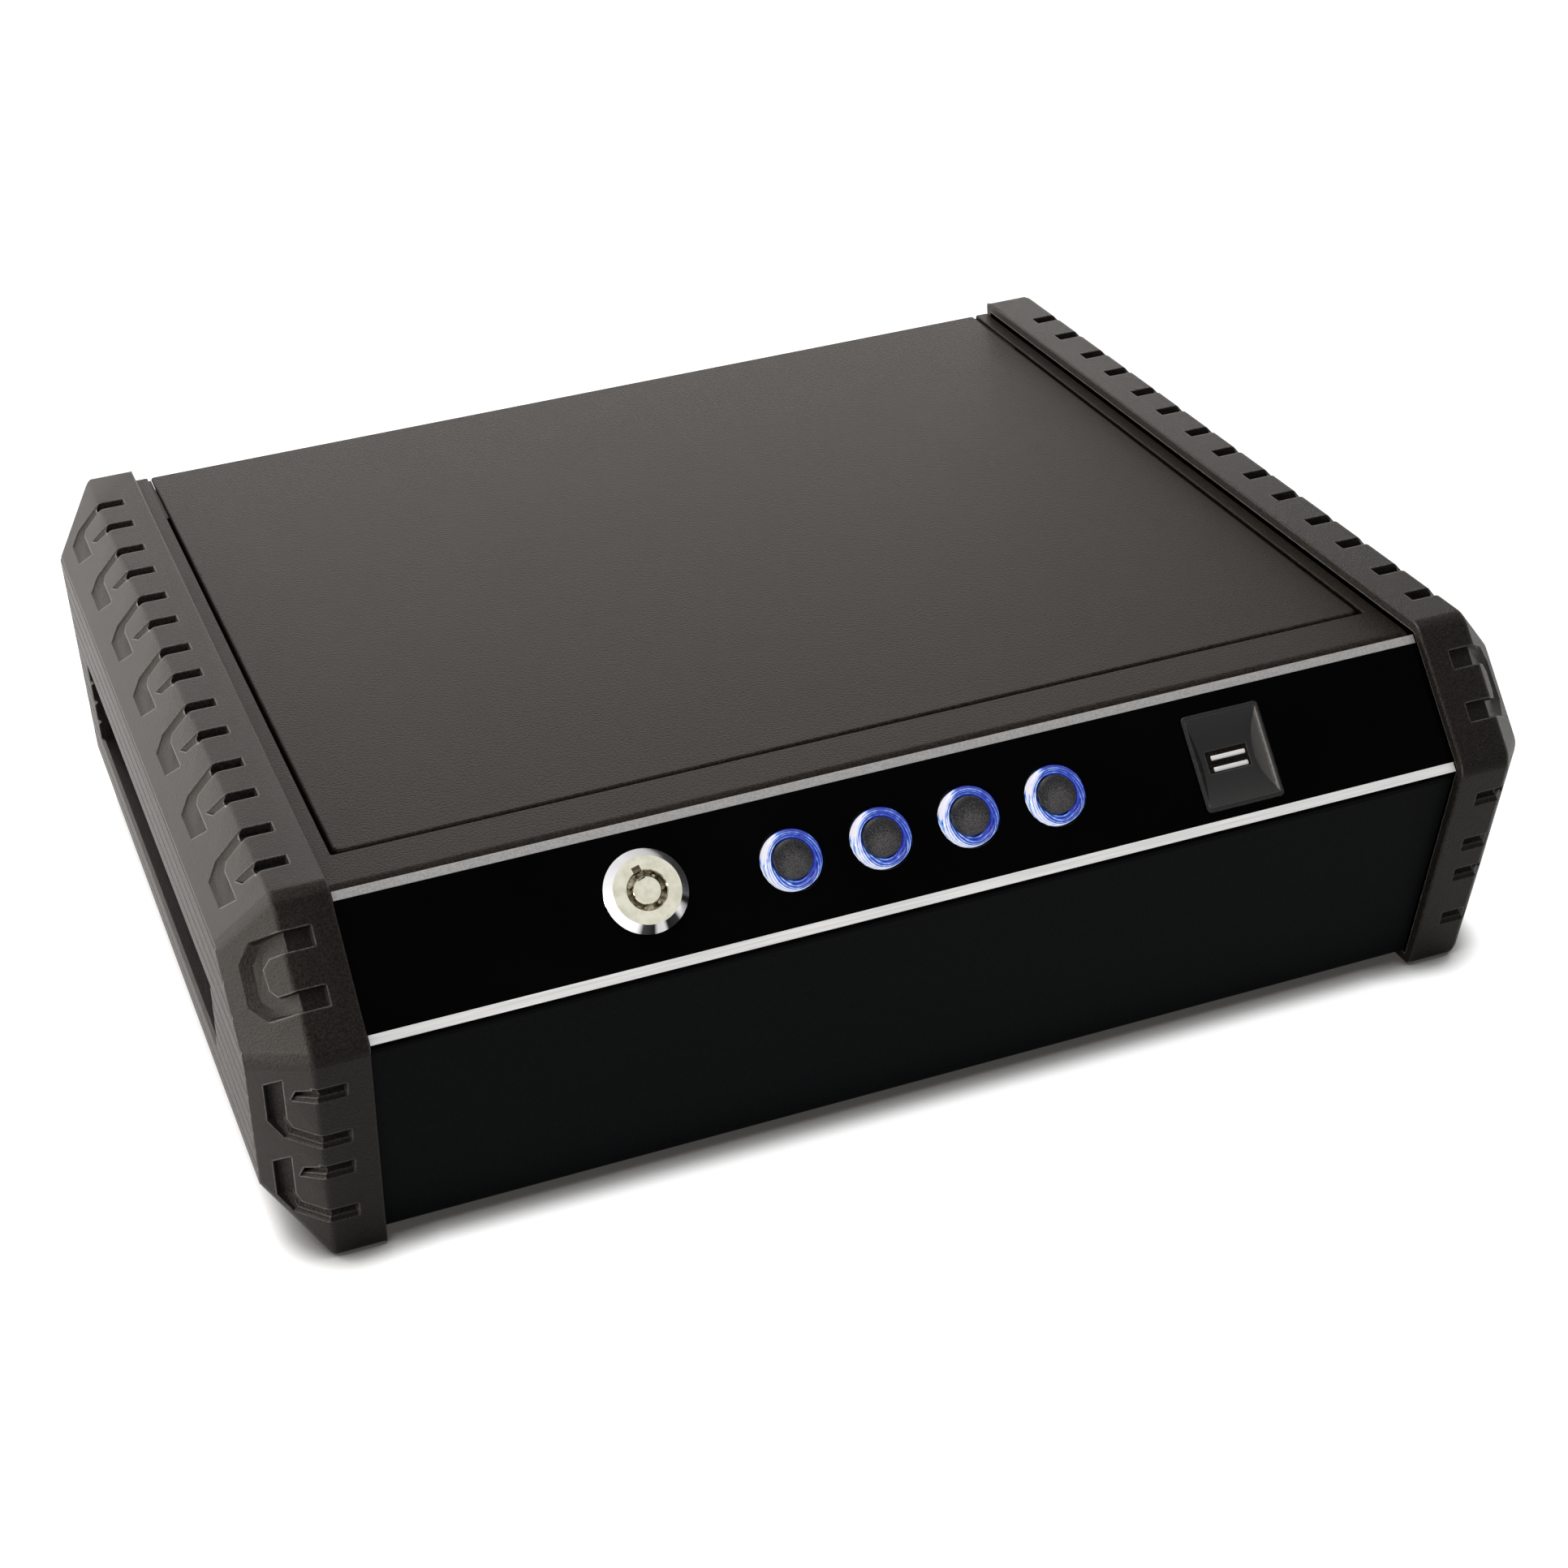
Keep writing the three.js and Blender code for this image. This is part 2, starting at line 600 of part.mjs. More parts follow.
function bodyShellGeometry() {
  const rounded = (corners, less) => roundedCorner(
    roundedCorner(
      roundedCorner(corners, frontSide, body.noseRadius + body.wall - less, facetCounts.crease),
      slopeSide, body.rimRadius - less, facetCounts.bend,
    ),
    bottomSide, body.footRadius + body.wall - less, facetCounts.crease,
  );
  const outer = alongX(rounded(bodyCorners, 0), -bodyHalf, bodyHalf);
  const inner = alongX(rounded(cavityCorners, body.wall), -cavityHalf, cavityHalf);
  const lidOpening = slab(
    -openingHalf, openingHalf, openingFront, bodyBack + overrun, wallTop, rimTop + overrun,
  );
  const lipTop = rimTop - body.wall / 2;
  const frontLip = slab(
    -openingHalf - body.lipWall, openingHalf + body.lipWall,
    openingFront - body.lipWall, openingFront, lipBottom, lipTop,
  );
  const sideLip = (x0, x1) => slab(
    x0, x1, openingFront - body.lipWall, cavityBack + body.wall / 2, lipBottom, lipTop,
  );
  const holes = [
    faceHole(lock.barrelRadius + seatGap, lockX, lock.slope, facetCounts.fine),
    ...buttonPlaces.map((x) => faceHole(button.steelHole, x, button.slope, facetCounts.small)),
    ...studPlaces().map(([x, s]) => faceHole(fascia.studRadius + seatGap, x, s, facetCounts.screw)),
    readerHole(seatGap).applyMatrix4(faceFrame),
  ];
  const screwHoles = bumperScrewPlaces.flatMap(([y, z]) => [-1, 1].map((to) => (
    zToX(rod(bumperScrew.hole, cavityHalf - overrun, bodyHalf + overrun, facetCounts.screw))
      .rotateZ(to < 0 ? 2 * quarterTurn : 0).translate(0, y, z)
  )));
  const floorHoles = [-1, 1].map((to) => (
    rod(coverScrew.hole, body.bottomInset - overrun, floorTop + overrun, facetCounts.screw)
      .translate(to * cavityHalf * cover.screwShare, coverFront + cover.screwSetback, 0)
  ));
  const shell = cutBy(outer, inner, lidOpening, ...holes, ...screwHoles, ...floorHoles);
  return joined(
    shell, frontLip,
    sideLip(openingHalf, openingHalf + body.lipWall),
    sideLip(-openingHalf - body.lipWall, -openingHalf),
  );
}

// Fascia and trim, in the fascia's frame

function fasciaGeometry() {
  const foot = new THREE.Vector2(
    bumperOutline[bottomSide][0] - bumperOutline[frontSide][0],
    bumperOutline[bottomSide][1] - bumperOutline[frontSide][1],
  ).normalize();
  const turn = Math.acos(foot.dot(slopeRun));
  const low = fascia.length - fascia.rise;
  const lean = fascia.thickness / Math.tan(turn);
  const seat = strip.thickness + seatGap;
  const profile = [
    [fascia.rise - strip.width, 0], [-low + strip.width, 0],
    [-low + strip.width, -seat], [-low - seat / Math.tan(turn), -seat],
    [-low - lean, -fascia.thickness], [fascia.rise, -fascia.thickness], [fascia.rise, -seat],
    [fascia.rise - strip.width, -seat],
  ];
  const panel = alongX(profile, -bodyHalf, bodyHalf);
  const studs = studPlaces().map(([x, s]) => (
    rod(fascia.studRadius, -boardDepth + seatGap, -fascia.thickness / 2, facetCounts.screw)
      .translate(x, -s, 0)
  ));
  const hole = (radius, x, s, count) => (
    rod(radius, -fascia.thickness - overrun, overrun, count).translate(x, -s, 0)
  );
  return cutBy(
    joined(panel, ...studs),
    hole(lock.barrelRadius + seatGap, lockX, lock.slope, facetCounts.fine),
    ...buttonPlaces.map((x) => hole(button.ringRadius + seatGap, x, button.slope, facetCounts.fine)),
    readerHole(seatGap),
  );
}

function stripGeometry(top) {
  return slab(
    -bodyHalf, bodyHalf, top - strip.width + seatGap, top, -strip.thickness, 0,
  );
}

// Buttons, in the fascia's frame about their own axis

function ringGeometry() {
  const under = -fascia.thickness;
  const [outerShare, innerShare] = button.ringShoulderShares;
  return turned([
    [button.ringInner, under], [button.ringRadius, under], [button.ringRadius, 0],
    [button.ringRadius - button.ringRise / 2, button.ringRise * outerShare],
    [(button.ringRadius + button.ringInner) / 2, button.ringRise],
    [button.ringInner, button.ringRise * innerShare], [button.ringInner, under],
  ], facetCounts.fine);
}

function capGeometry() {
  const flangeTop = -fascia.thickness - seatGap;
  const flangeLow = flangeTop - button.flange;
  const [shoulderShare, crownShare] = button.capDomeShares;
  const dome = button.capRise - button.capShoulder;
  return turned([
    [0, -capStemEnd], [button.stemRadius, -capStemEnd], [button.stemRadius, flangeLow],
    [button.flangeRadius, flangeLow], [button.flangeRadius, flangeTop], [button.capRadius, flangeTop],
    [button.capRadius, button.capShoulder],
    [button.capRadius * shoulderShare, button.capShoulder + dome / 2],
    [button.capRadius * crownShare, button.capRise - dome * quarterShare],
    [0, button.capRise],
  ], facetCounts.fine);
}

function switchGeometry() {
  const low = -boardDepth + seatGap;
  const top = low + switches.height;
  const reach = switches.size / 2;
  return joined(
    slab(-reach, reach, -reach, reach, low, top),
    rod(switches.plungerRadius, top - switches.plunger, top + switches.plunger, facetCounts.screw),
  );
}

function boardGeometry() {
  return slab(boardLeft, boardRight, -board.low, -board.top, -boardDepth - board.thickness, -boardDepth);
}

// Key lock, about its own axis with Z out of the fascia

function lockBodyGeometry() {
  const barrel = turned([
    [lock.bore, -lock.barrelDepth], [lock.barrelRadius, -lock.barrelDepth], [lock.barrelRadius, seatGap],
    [lock.headRadius, seatGap], [lock.headRadius, lock.headEdge], [lock.headFace, lock.headRise],
    [lock.bore, lock.headRise], [lock.bore, -lock.barrelDepth],
  ], facetCounts.fine);
  const notch = slab(
    -lock.notchWidth / 2, lock.notchWidth / 2, 0, lock.bore + lock.notchDepth,
    lock.headRise - lock.keyway, lock.headRise + overrun,
  );
  return cutBy(barrel, notch);
}

function lockPlugGeometry() {
  const floor = lock.headRise - lock.keyway;
  const plug = turned([
    [0, -lock.tailDepth], [lock.tailRadius, -lock.tailDepth], [lock.tailRadius, -lock.plugDepth],
    [lock.plugRadius, -lock.plugDepth], [lock.plugRadius, floor], [lock.postRadius, floor],
    [lock.postRadius, lock.postRise], [0, lock.postRise],
  ], facetCounts.fine);
  const notch = slab(
    -lock.notchWidth / 2, lock.notchWidth / 2, lock.postRadius - lock.postNotch, lock.bore,
    floor, lock.postRise + overrun,
  );
  const bore = rod(
    lock.tailBore, -lock.tailDepth - overrun, -lock.tailDepth + lock.tailBoreDepth, facetCounts.screw,
  );
  return cutBy(plug, notch, bore);
}

function lockNutGeometry() {
  const top = -steelBack - seatGap;
  const low = top - lock.nutHeight;
  const hexagon = rod(lock.nutRadius, low, top, facetCounts.hex);
  return cutBy(hexagon, rod(lock.barrelRadius + seatGap, low - overrun, top + overrun, facetCounts.fine));
}

const camTop = -lock.plugDepth - seatGap;
const camLow = camTop - cam.thickness;

function camGeometry() {
  const disc = rod(cam.radius, camLow, camTop, facetCounts.small);
  const arm = slab(-cam.armWidth / 2, cam.armWidth / 2, 0, cam.throwRadius, camLow, camTop);
  const boss = rod(cam.pegBoss, camLow, camTop, facetCounts.small).translate(0, cam.throwRadius, 0);
  const peg = rod(cam.pegRadius, -cam.pegEnd, camTop - cam.thickness / 2, facetCounts.small)
    .translate(0, cam.throwRadius, 0);
  const eye = rod(lock.tailRadius + seatGap, camLow - overrun, camTop + overrun, facetCounts.small);
  return cutBy(joined(disc, arm, boss, peg), eye).rotateZ(quarterTurn / 2);
}

function camScrewGeometry() {
  const under = -lock.tailDepth - seatGap;
  return turned([
    [0, under - cam.screwHeadHeight], [cam.screwHead, under - cam.screwHeadHeight], [cam.screwHead, under],
    [cam.screwShank, under], [cam.screwShank, under + cam.screwLength], [0, under + cam.screwLength],
  ], facetCounts.screw);
}

// Finger reader, in the fascia's frame

const scoopCentreZ = reader.rise - reader.scoopDepth + reader.scoopRadius;

function readerBezelGeometry() {
  const outer = slab(
    readerLeft, readerRight, -reader.low, -reader.top, seatGap, reader.rise,
  );
  const inner = slab(
    readerLeft + reader.bodyInset, readerRight - reader.bodyInset,
    -reader.low + reader.bodyInset, -reader.top - reader.bodyInset, -reader.bodyDepth, reader.rise / 2,
  );
  const scoop = rod(reader.scoopRadius, -half.width, half.width, facetCounts.smooth).rotateX(quarterTurn)
    .translate(readerMiddle, 0, scoopCentreZ);
  const trough = slab(
    readerLeft + reader.lip, readerRight - reader.lip, -reader.low + reader.lip, -reader.top - reader.lip,
    -reader.bodyDepth, reader.rise + overrun,
  );
  const scooped = geometryOf(solidOf(scoop).intersect(solidOf(trough)));
  const pocketReach = reader.barSpacing / 2 + reader.barHeight / 2 + seatGap;
  const floor = scoopCentreZ - reader.scoopRadius;
  const pocket = slab(
    readerMiddle - reader.barHalfWidth - seatGap, readerMiddle + reader.barHalfWidth + seatGap,
    -reader.sensorCentre - pocketReach, -reader.sensorCentre + pocketReach,
    floor - reader.pocket - seatGap, reader.rise + overrun,
  );
  return cutBy(joined(outer, inner), scooped, pocket);
}

function readerStrip(centre, height, halfWidth, top) {
  const floor = scoopCentreZ - reader.scoopRadius;
  return slab(
    readerMiddle - halfWidth, readerMiddle + halfWidth, -centre - height / 2, -centre + height / 2,
    floor - reader.pocket, floor + top,
  );
}

function readerBoardGeometry() {
  const top = -reader.bodyDepth - seatGap;
  const inset = reader.bodyInset;
  return slab(
    readerLeft + inset, readerRight - inset, -reader.low + inset, -reader.top - inset,
    top - reader.boardThickness, top,
  );
}

// Lid

function lidPanelGeometry() {
  const rounded = (corners, at) => roundedCorner(corners, at, lid.cornerRadius, facetCounts.bend);
  const outline = [[-lidHalf, bodyBack], [-lidHalf, lidFront], [lidHalf, lidFront], [lidHalf, bodyBack]];
  const plan = rounded(rounded(outline, 2), 1);
  const tray = extruded(plan, rimTop - lid.flange, rimTop);
  const insideOutline = insetOutline(outline, [lid.wall, lid.wall, lid.wall, -overrun]);
  const inside = extruded(insideOutline, rimTop - lid.flange - overrun, lidUnder);
  const relief = slab(
    -lidHalf - overrun, lidHalf + overrun, bodyBack - lid.flangeBack, bodyBack + overrun,
    rimTop - lid.flange - overrun, lidUnder,
  );
  return cutBy(tray, inside, relief);
}

function lidPadGeometry() {
  return slab(
    -lidHalf + foam.lidInset, lidHalf - foam.lidInset,
    strikerBack + foam.lidFrontGap, hingeY - hinge.lidLeafDepth - foam.lidBackGap,
    lidUnder - seatGap - foam.lid, lidUnder - seatGap,
  );
}

function strikerGeometry() {
  const top = lidUnder - seatGap;
  const low = boltZ - striker.under;
  const plate = slab(-striker.wall / 2, striker.wall / 2, strikerFront, strikerBack, low, top);
  const foot = slab(
    -striker.footHalfWidth, striker.footHalfWidth, strikerFront, strikerBack, top - striker.foot, top,
  );
  const reach = bolt.width / 2 + striker.gap;
  const window = slab(
    -striker.wall, striker.wall, boltY - reach, boltY + reach,
    low + striker.bar, boltZ + bolt.height / 2 + striker.gap,
  );
  return cutBy(joined(plate, foot), window);
}

// Hinge

const knuckleSpans = (() => {
  const end = hingeHalf;
  const springOuter = end * (1 - hinge.endKnuckleShare);
  const springInner = springOuter - end * hinge.springShare;
  const middle = springInner - end * hinge.lidKnuckleShare;
  return {
    body: [[-end, -springOuter], [-middle, middle], [springOuter, end]],
    lid: [[-springInner, -middle], [middle, springInner]],
    spring: [[-springOuter, -springInner], [springInner, springOuter]],
  };
})();

function knuckle([x0, x1]) {
  return zToX(rod(hinge.knuckleRadius, x0 + seatGap / 2, x1 - seatGap / 2, facetCounts.small))
    .translate(0, hingeY, hingeZ);
}

function pinHole() {
  const reach = hingeHalf + overrun;
  return zToX(rod(hinge.pinRadius + seatGap, -reach, reach, facetCounts.small)).translate(0, hingeY, hingeZ);
}

function bodyLeafGeometry() {
  const back = cavityBack - seatGap;
  const front = back - hinge.leafWall;
  const plate = slab(-hingeHalf, hingeHalf, front, back, wallTop - hinge.leafDepth, wallTop);
  const webs = knuckleSpans.body.map(([x0, x1]) => (
    slab(x0 + seatGap / 2, x1 - seatGap / 2, front, back, wallTop - hinge.leafWall, hingeZ)
  ));
  return cutBy(joined(plate, ...webs, ...knuckleSpans.body.map(knuckle)), pinHole());
}

function lidLeafGeometry() {
  const low = hingeZ + hinge.lidLeafLift;
  const clear = hingeY - hinge.knuckleRadius - seatGap;
  const plate = slab(
    -hingeHalf, hingeHalf, hingeY - hinge.lidLeafDepth, clear, low, lidUnder - seatGap,
  );
  const webs = knuckleSpans.lid.map(([x0, x1]) => (
    slab(x0 + seatGap / 2, x1 - seatGap / 2, clear - hinge.leafWall, hingeY, low, lidUnder - seatGap)
  ));
  return cutBy(joined(plate, ...webs, ...knuckleSpans.lid.map(knuckle)), pinHole());
}

function hingePinGeometry() {
  return zToX(rod(hinge.pinRadius, -hingeHalf, hingeHalf, facetCounts.screw))
    .translate(0, hingeY, hingeZ);
}

function liftSpringGeometry([x0, x1]) {
  return zToX(tube(
    liftSpring.innerRadius, liftSpring.outerRadius, x0 + seatGap, x1 - seatGap, facetCounts.small,
  )).translate(0, hingeY, hingeZ);
}

// Front compartment

function innerCoverGeometry() {
  const reach = cavityHalf - cover.sideGap;
  const low = floorTop + seatGap;
  const top = lipBottom - seatGap;
  const wall = slab(-reach, reach, coverFront, coverBack, low, top);
  const roof = slab(-reach, reach, -half.depth + cover.topSetback, coverBack, top - cover.wall, top);
  const foot = slab(-reach, reach, coverFront, coverFront + cover.flange, low, low + cover.wall);
  const slot = slab(
    -cover.slotHalfWidth, cover.slotHalfWidth,
    strikerFront - cover.slotFrontGap, strikerBack + cover.slotBackGap,
    top - cover.wall - overrun, top + overrun,
  );
  const opening = slab(
    doorway.left, doorway.right, coverFront - overrun, coverBack + overrun, doorway.low, doorway.high,
  );
  const screwHoles = [-1, 1].map((to) => (
    rod(coverScrew.hole, low - overrun, low + cover.wall + overrun, facetCounts.screw)
      .translate(to * cavityHalf * cover.screwShare, coverFront + cover.screwSetback, 0)
  ));
  return cutBy(joined(wall, roof, foot), slot, opening, ...screwHoles);
}

function coverScrewGeometry() {
  const under = floorTop + 2 * seatGap + cover.wall;
  return turned([
    [0, under - coverScrew.length], [coverScrew.shank, under - coverScrew.length], [coverScrew.shank, under],
    [coverScrew.head, under], [coverScrew.head, under + coverScrew.headHeight],
    [0, under + coverScrew.headHeight],
  ], facetCounts.screw);
}

function batteryCoverGeometry() {
  const front = coverBack + seatGap;
  const low = Math.max(doorway.low - door.lap, floorTop + 2 * seatGap + cover.wall);
  const plate = slab(
    doorway.left - door.lap, doorway.right + door.lap, front, front + door.wall, low, doorway.high + door.lap,
  );
  const middle = (doorway.left + doorway.right) / 2;
  const tab = slab(
    middle - door.tabWidth / 2, middle + door.tabWidth / 2, front + door.wall / 2,
    front + door.wall + door.tabDepth, doorway.high - door.tabHeight, doorway.high,
  );
  return joined(plate, tab);
}

function batteryHolderGeometry() {
  const box = slab(trayLeft, trayRight, trayFront, compartmentBack, trayLow, trayTop);
  const inside = slab(
    trayLeft + tray.wall, trayRight - tray.wall, trayFront + tray.wall, compartmentBack + overrun,
    trayLow + tray.wall, trayTop - tray.wall,
  );
  return cutBy(box, inside);
}

function cellGeometry() {
  const end = cell.length - cell.capHeight;
  return zToX(turned([
    [0, 0], [cell.radius, 0], [cell.radius, end], [cell.capRadius, end],
    [cell.capRadius, cell.length], [0, cell.length],
  ], facetCounts.small));
}

// Latch

function boltGeometry() {
  const bar = slab(
    boltLeft, boltRight, boltY - bolt.width / 2, boltY + bolt.width / 2,
    boltZ - bolt.height / 2, boltZ + bolt.height / 2,
  );
  const plate = slab(
    forkX - bolt.forkWidth / 2, forkX + bolt.forkWidth / 2,
    -bolt.plateLow, -bolt.plateTop, -bolt.plateDepth - bolt.plateThickness, -bolt.plateDepth,
  );
  const slotHalf = cam.pegRadius + bolt.forkGap;
  const slot = slab(
    forkX - slotHalf, forkX + slotHalf, -bolt.plateLow - overrun, -bolt.slotTop,
    -bolt.plateDepth - bolt.plateThickness - overrun, -bolt.plateDepth + overrun,
  );
  const fork = cutBy(plate, slot).applyMatrix4(faceFrame);
  const gusset = slab(
    forkX - bolt.forkWidth / 2, forkX + bolt.forkWidth / 2, boltY - bolt.gussetReach, boltY - bolt.gussetBack,
    boltZ - bolt.gussetDrop, boltZ + bolt.height / 2,
  );
  return joined(bar, fork, gusset);
}

function bracketGeometry() {
  const left = forkX + bolt.forkWidth / 2 + boltThrow + bracket.forkClear;
  const right = boltRight + boltThrow + bracket.endGap;
  const end = right + bracket.wall;
  const front = boltY - bracket.reach;
  const low = boltZ - bracket.under;
  const high = boltZ + bracket.over;
  const plate = slab(left, end, compartmentBack - bracket.wall, compartmentBack, low, high);
  const cheeks = [left, boltRight - bracket.middleReach, right].map((x) => (
    slab(x, x + bracket.wall, front, compartmentBack, low, high)
  ));
  const bore = slab(
    left - overrun, end + overrun,
    boltY - bolt.width / 2 - bracket.boreGap, boltY + bolt.width / 2 + bracket.boreGap,
    boltZ - bolt.height / 2 - bracket.boreGap, boltZ + bolt.height / 2 + bracket.boreGap,
  );
  return cutBy(joined(plate, ...cheeks), bore);
}

function solenoidGeometry() {
  const block = slab(
    solenoidLeft, solenoidRight, compartmentBack - solenoid.width, compartmentBack,
    boltZ - solenoid.height / 2, boltZ + solenoid.height / 2,
  );
  const bore = zToX(rod(
    solenoid.bore, solenoidLeft + solenoid.seat, solenoidRight + overrun, facetCounts.small,
  )).translate(0, boltY, boltZ);
  return cutBy(block, bore);
}

function plungerGeometry() {
  const left = solenoidLeft + solenoid.seat + seatGap;
  const right = boltLeft - seatGap;
  return zToX(turned([
    [0, left], [solenoid.plungerRadius, left], [solenoid.plungerRadius, collarLeft],
    [collar.radius, collarLeft], [collar.radius, collarLeft + collar.width],
    [solenoid.plungerRadius, collarLeft + collar.width], [solenoid.plungerRadius, right], [0, right],
  ], facetCounts.small)).translate(0, boltY, boltZ);
}

function returnSpringGeometry() {
  return zToX(tube(
    returnSpring.innerRadius, returnSpring.outerRadius,
    solenoidRight + seatGap, collarLeft - seatGap, facetCounts.small,
  )).translate(0, boltY, boltZ);
}

// Assembly

const portableCarSafe = new THREE.Group();
const fasciaGroup = new THREE.Group();
fasciaGroup.position.copy(faceOrigin);
fasciaGroup.rotation.x = slopeTurn;
portableCarSafe.add(fasciaGroup);

const finishes = {
  satinSteel: { color: 0x3a3836, roughness: 0.55, metalness: 0.3 },
  bareSteel: { color: 0xa8a9ab, roughness: 0.35, metalness: 0.9 },
  grainPlastic: { color: 0x33302e, roughness: 0.7, metalness: 0 },
  glossBlack: { color: 0x060607, roughness: 0.12, metalness: 0 },
  silver: { color: 0xd8d9da, roughness: 0.28, metalness: 0.85 },
  chrome: { color: 0xd2d4d6, roughness: 0.15, metalness: 1 },
  clearGlow: { color: 0x7fb4f0, roughness: 0.1, metalness: 0 },
  capGrey: { color: 0x4a4c50, roughness: 0.3, metalness: 0.1 },
  darkPlastic: { color: 0x1b1b1d, roughness: 0.45, metalness: 0 },
  foam: { color: 0x2a2a2c, roughness: 0.95, metalness: 0 },
  boardGreen: { color: 0x1e5a36, roughness: 0.5, metalness: 0 },
  cellJacket: { color: 0x30343c, roughness: 0.4, metalness: 0.2 },
};

function place(name, geometry, finish, parent = portableCarSafe) {
  const mesh = new THREE.Mesh(geometryOf(solidOf(geometry)), new THREE.MeshStandardMaterial(finish));
  mesh.name = name;
  parent.add(mesh);
  return mesh;
}

function placeOnFace(name, geometry, finish, x, s) {
  place(name, geometry, finish, fasciaGroup).position.set(x, -s, 0);
}

function addCase() {
  place('body_shell', bodyShellGeometry(), finishes.satinSteel);
  const right = bumperGeometry();
  place('bumper_right', right, finishes.grainPlastic);
  place('bumper_left', mirrored(right), finishes.grainPlastic);
  bumperScrewPlaces.forEach(([y, z], i) => {
    const screw = bumperScrewGeometry();
    place(`bumper_screw_right_${i + 1}`, screw, finishes.bareSteel).position.set(0, y, z);
    place(`bumper_screw_left_${i + 1}`, mirrored(screw), finishes.bareSteel).position.set(0, y, z);
  });
  place('floor_mat', slab(
    -cavityHalf + foam.sideGap, cavityHalf - foam.sideGap,
    coverFront + cover.flange + foam.floorFrontGap, cavityBack - foam.sideGap,
    floorTop + seatGap, floorTop + seatGap + foam.floor,
  ), finishes.foam);
}

function addFascia() {
  place('fascia_panel', fasciaGeometry(), finishes.glossBlack, fasciaGroup);
  place('trim_strip_upper', stripGeometry(fascia.rise), finishes.silver, fasciaGroup);
  const lowerTop = strip.width - fascia.length + fascia.rise - seatGap;
  place('trim_strip_lower', stripGeometry(lowerTop), finishes.silver, fasciaGroup);
  buttonPlaces.forEach((x, i) => {
    placeOnFace(`button_ring_${i + 1}`, ringGeometry(), finishes.clearGlow, x, button.slope);
    placeOnFace(`button_cap_${i + 1}`, capGeometry(), finishes.capGrey, x, button.slope);
    placeOnFace(`button_switch_${i + 1}`, switchGeometry(), finishes.darkPlastic, x, button.slope);
  });
  place('control_board', boardGeometry(), finishes.boardGreen, fasciaGroup);
}

function addLock() {
  placeOnFace('key_lock_body', lockBodyGeometry(), finishes.chrome, lockX, lock.slope);
  placeOnFace('key_lock_plug', lockPlugGeometry(), finishes.chrome, lockX, lock.slope);
  placeOnFace('key_lock_nut', lockNutGeometry(), finishes.bareSteel, lockX, lock.slope);
  placeOnFace('key_cam', camGeometry(), finishes.bareSteel, lockX, lock.slope);
  placeOnFace('cam_screw', camScrewGeometry(), finishes.bareSteel, lockX, lock.slope);
}

function addReader() {
  place('reader_bezel', readerBezelGeometry(), finishes.darkPlastic, fasciaGroup);
  const offset = reader.barSpacing / 2;
  place('reader_sensor', readerStrip(
    reader.sensorCentre, reader.barSpacing - reader.barHeight - 2 * seatGap, reader.sensorHalfWidth, 0,
  ), finishes.glossBlack, fasciaGroup);
  place('reader_bar_upper', readerStrip(
    reader.sensorCentre - offset, reader.barHeight, reader.barHalfWidth, seatGap,
  ), finishes.silver, fasciaGroup);
  place('reader_bar_lower', readerStrip(
    reader.sensorCentre + offset, reader.barHeight, reader.barHalfWidth, seatGap,
  ), finishes.silver, fasciaGroup);
  place('reader_board', readerBoardGeometry(), finishes.boardGreen, fasciaGroup);
}

function addLid() {
  place('lid_panel', lidPanelGeometry(), finishes.satinSteel);
  place('lid_pad', lidPadGeometry(), finishes.foam);
  place('lid_striker', strikerGeometry(), finishes.bareSteel);
  place('hinge_leaf_body', bodyLeafGeometry(), finishes.satinSteel);
  place('hinge_leaf_lid', lidLeafGeometry(), finishes.satinSteel);
  place('hinge_pin', hingePinGeometry(), finishes.bareSteel);
  const [left, right] = knuckleSpans.spring;
  place('lid_spring_left', liftSpringGeometry(left), finishes.bareSteel);
  place('lid_spring_right', liftSpringGeometry(right), finishes.bareSteel);
}

function addCompartment() {
  place('inner_cover', innerCoverGeometry(), finishes.satinSteel);
  const placeScrew = (name, x) => {
    const y = coverFront + cover.screwSetback;
    place(name, coverScrewGeometry(), finishes.bareSteel).position.set(x, y, 0);
  };
  placeScrew('inner_cover_screw_left', -cavityHalf * cover.screwShare);
  placeScrew('inner_cover_screw_right', cavityHalf * cover.screwShare);
  place('battery_cover', batteryCoverGeometry(), finishes.darkPlastic);
  place('battery_holder', batteryHolderGeometry(), finishes.darkPlastic);
  const start = (trayLeft + trayRight - cell.length) / 2;
  const firstY = trayFront + tray.wall + seatGap + cell.radius;
  const firstZ = trayLow + tray.wall + seatGap + cell.radius;
  for (let i = 0; i < cell.rowCount * cell.columnCount; i += 1) {
    const y = firstY + cellSpacing * (i % cell.columnCount);
    const z = firstZ + cellSpacing * Math.floor(i / cell.columnCount);
    place(`battery_${i + 1}`, cellGeometry(), finishes.cellJacket).position.set(start, y, z);
  }
}

function addLatch() {
  place('latch_bolt', boltGeometry(), finishes.bareSteel);
  place('latch_bracket', bracketGeometry(), finishes.bareSteel);
  place('solenoid_body', solenoidGeometry(), finishes.darkPlastic);
  place('solenoid_plunger', plungerGeometry(), finishes.bareSteel);
  place('return_spring', returnSpringGeometry(), finishes.bareSteel);
}

addCase();
addFascia();
addLock();
addReader();
addLid();
addCompartment();
addLatch();

export default portableCarSafe;
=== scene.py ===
# Portable car safe: a steel box with a flush lid between two plastic bumpers.
# Sizes are in millimetres in the row frame (X right, Y back, Z up) and become metres in the meshes.

import json
import math

import bmesh
import bpy
from mathutils import Matrix, Vector


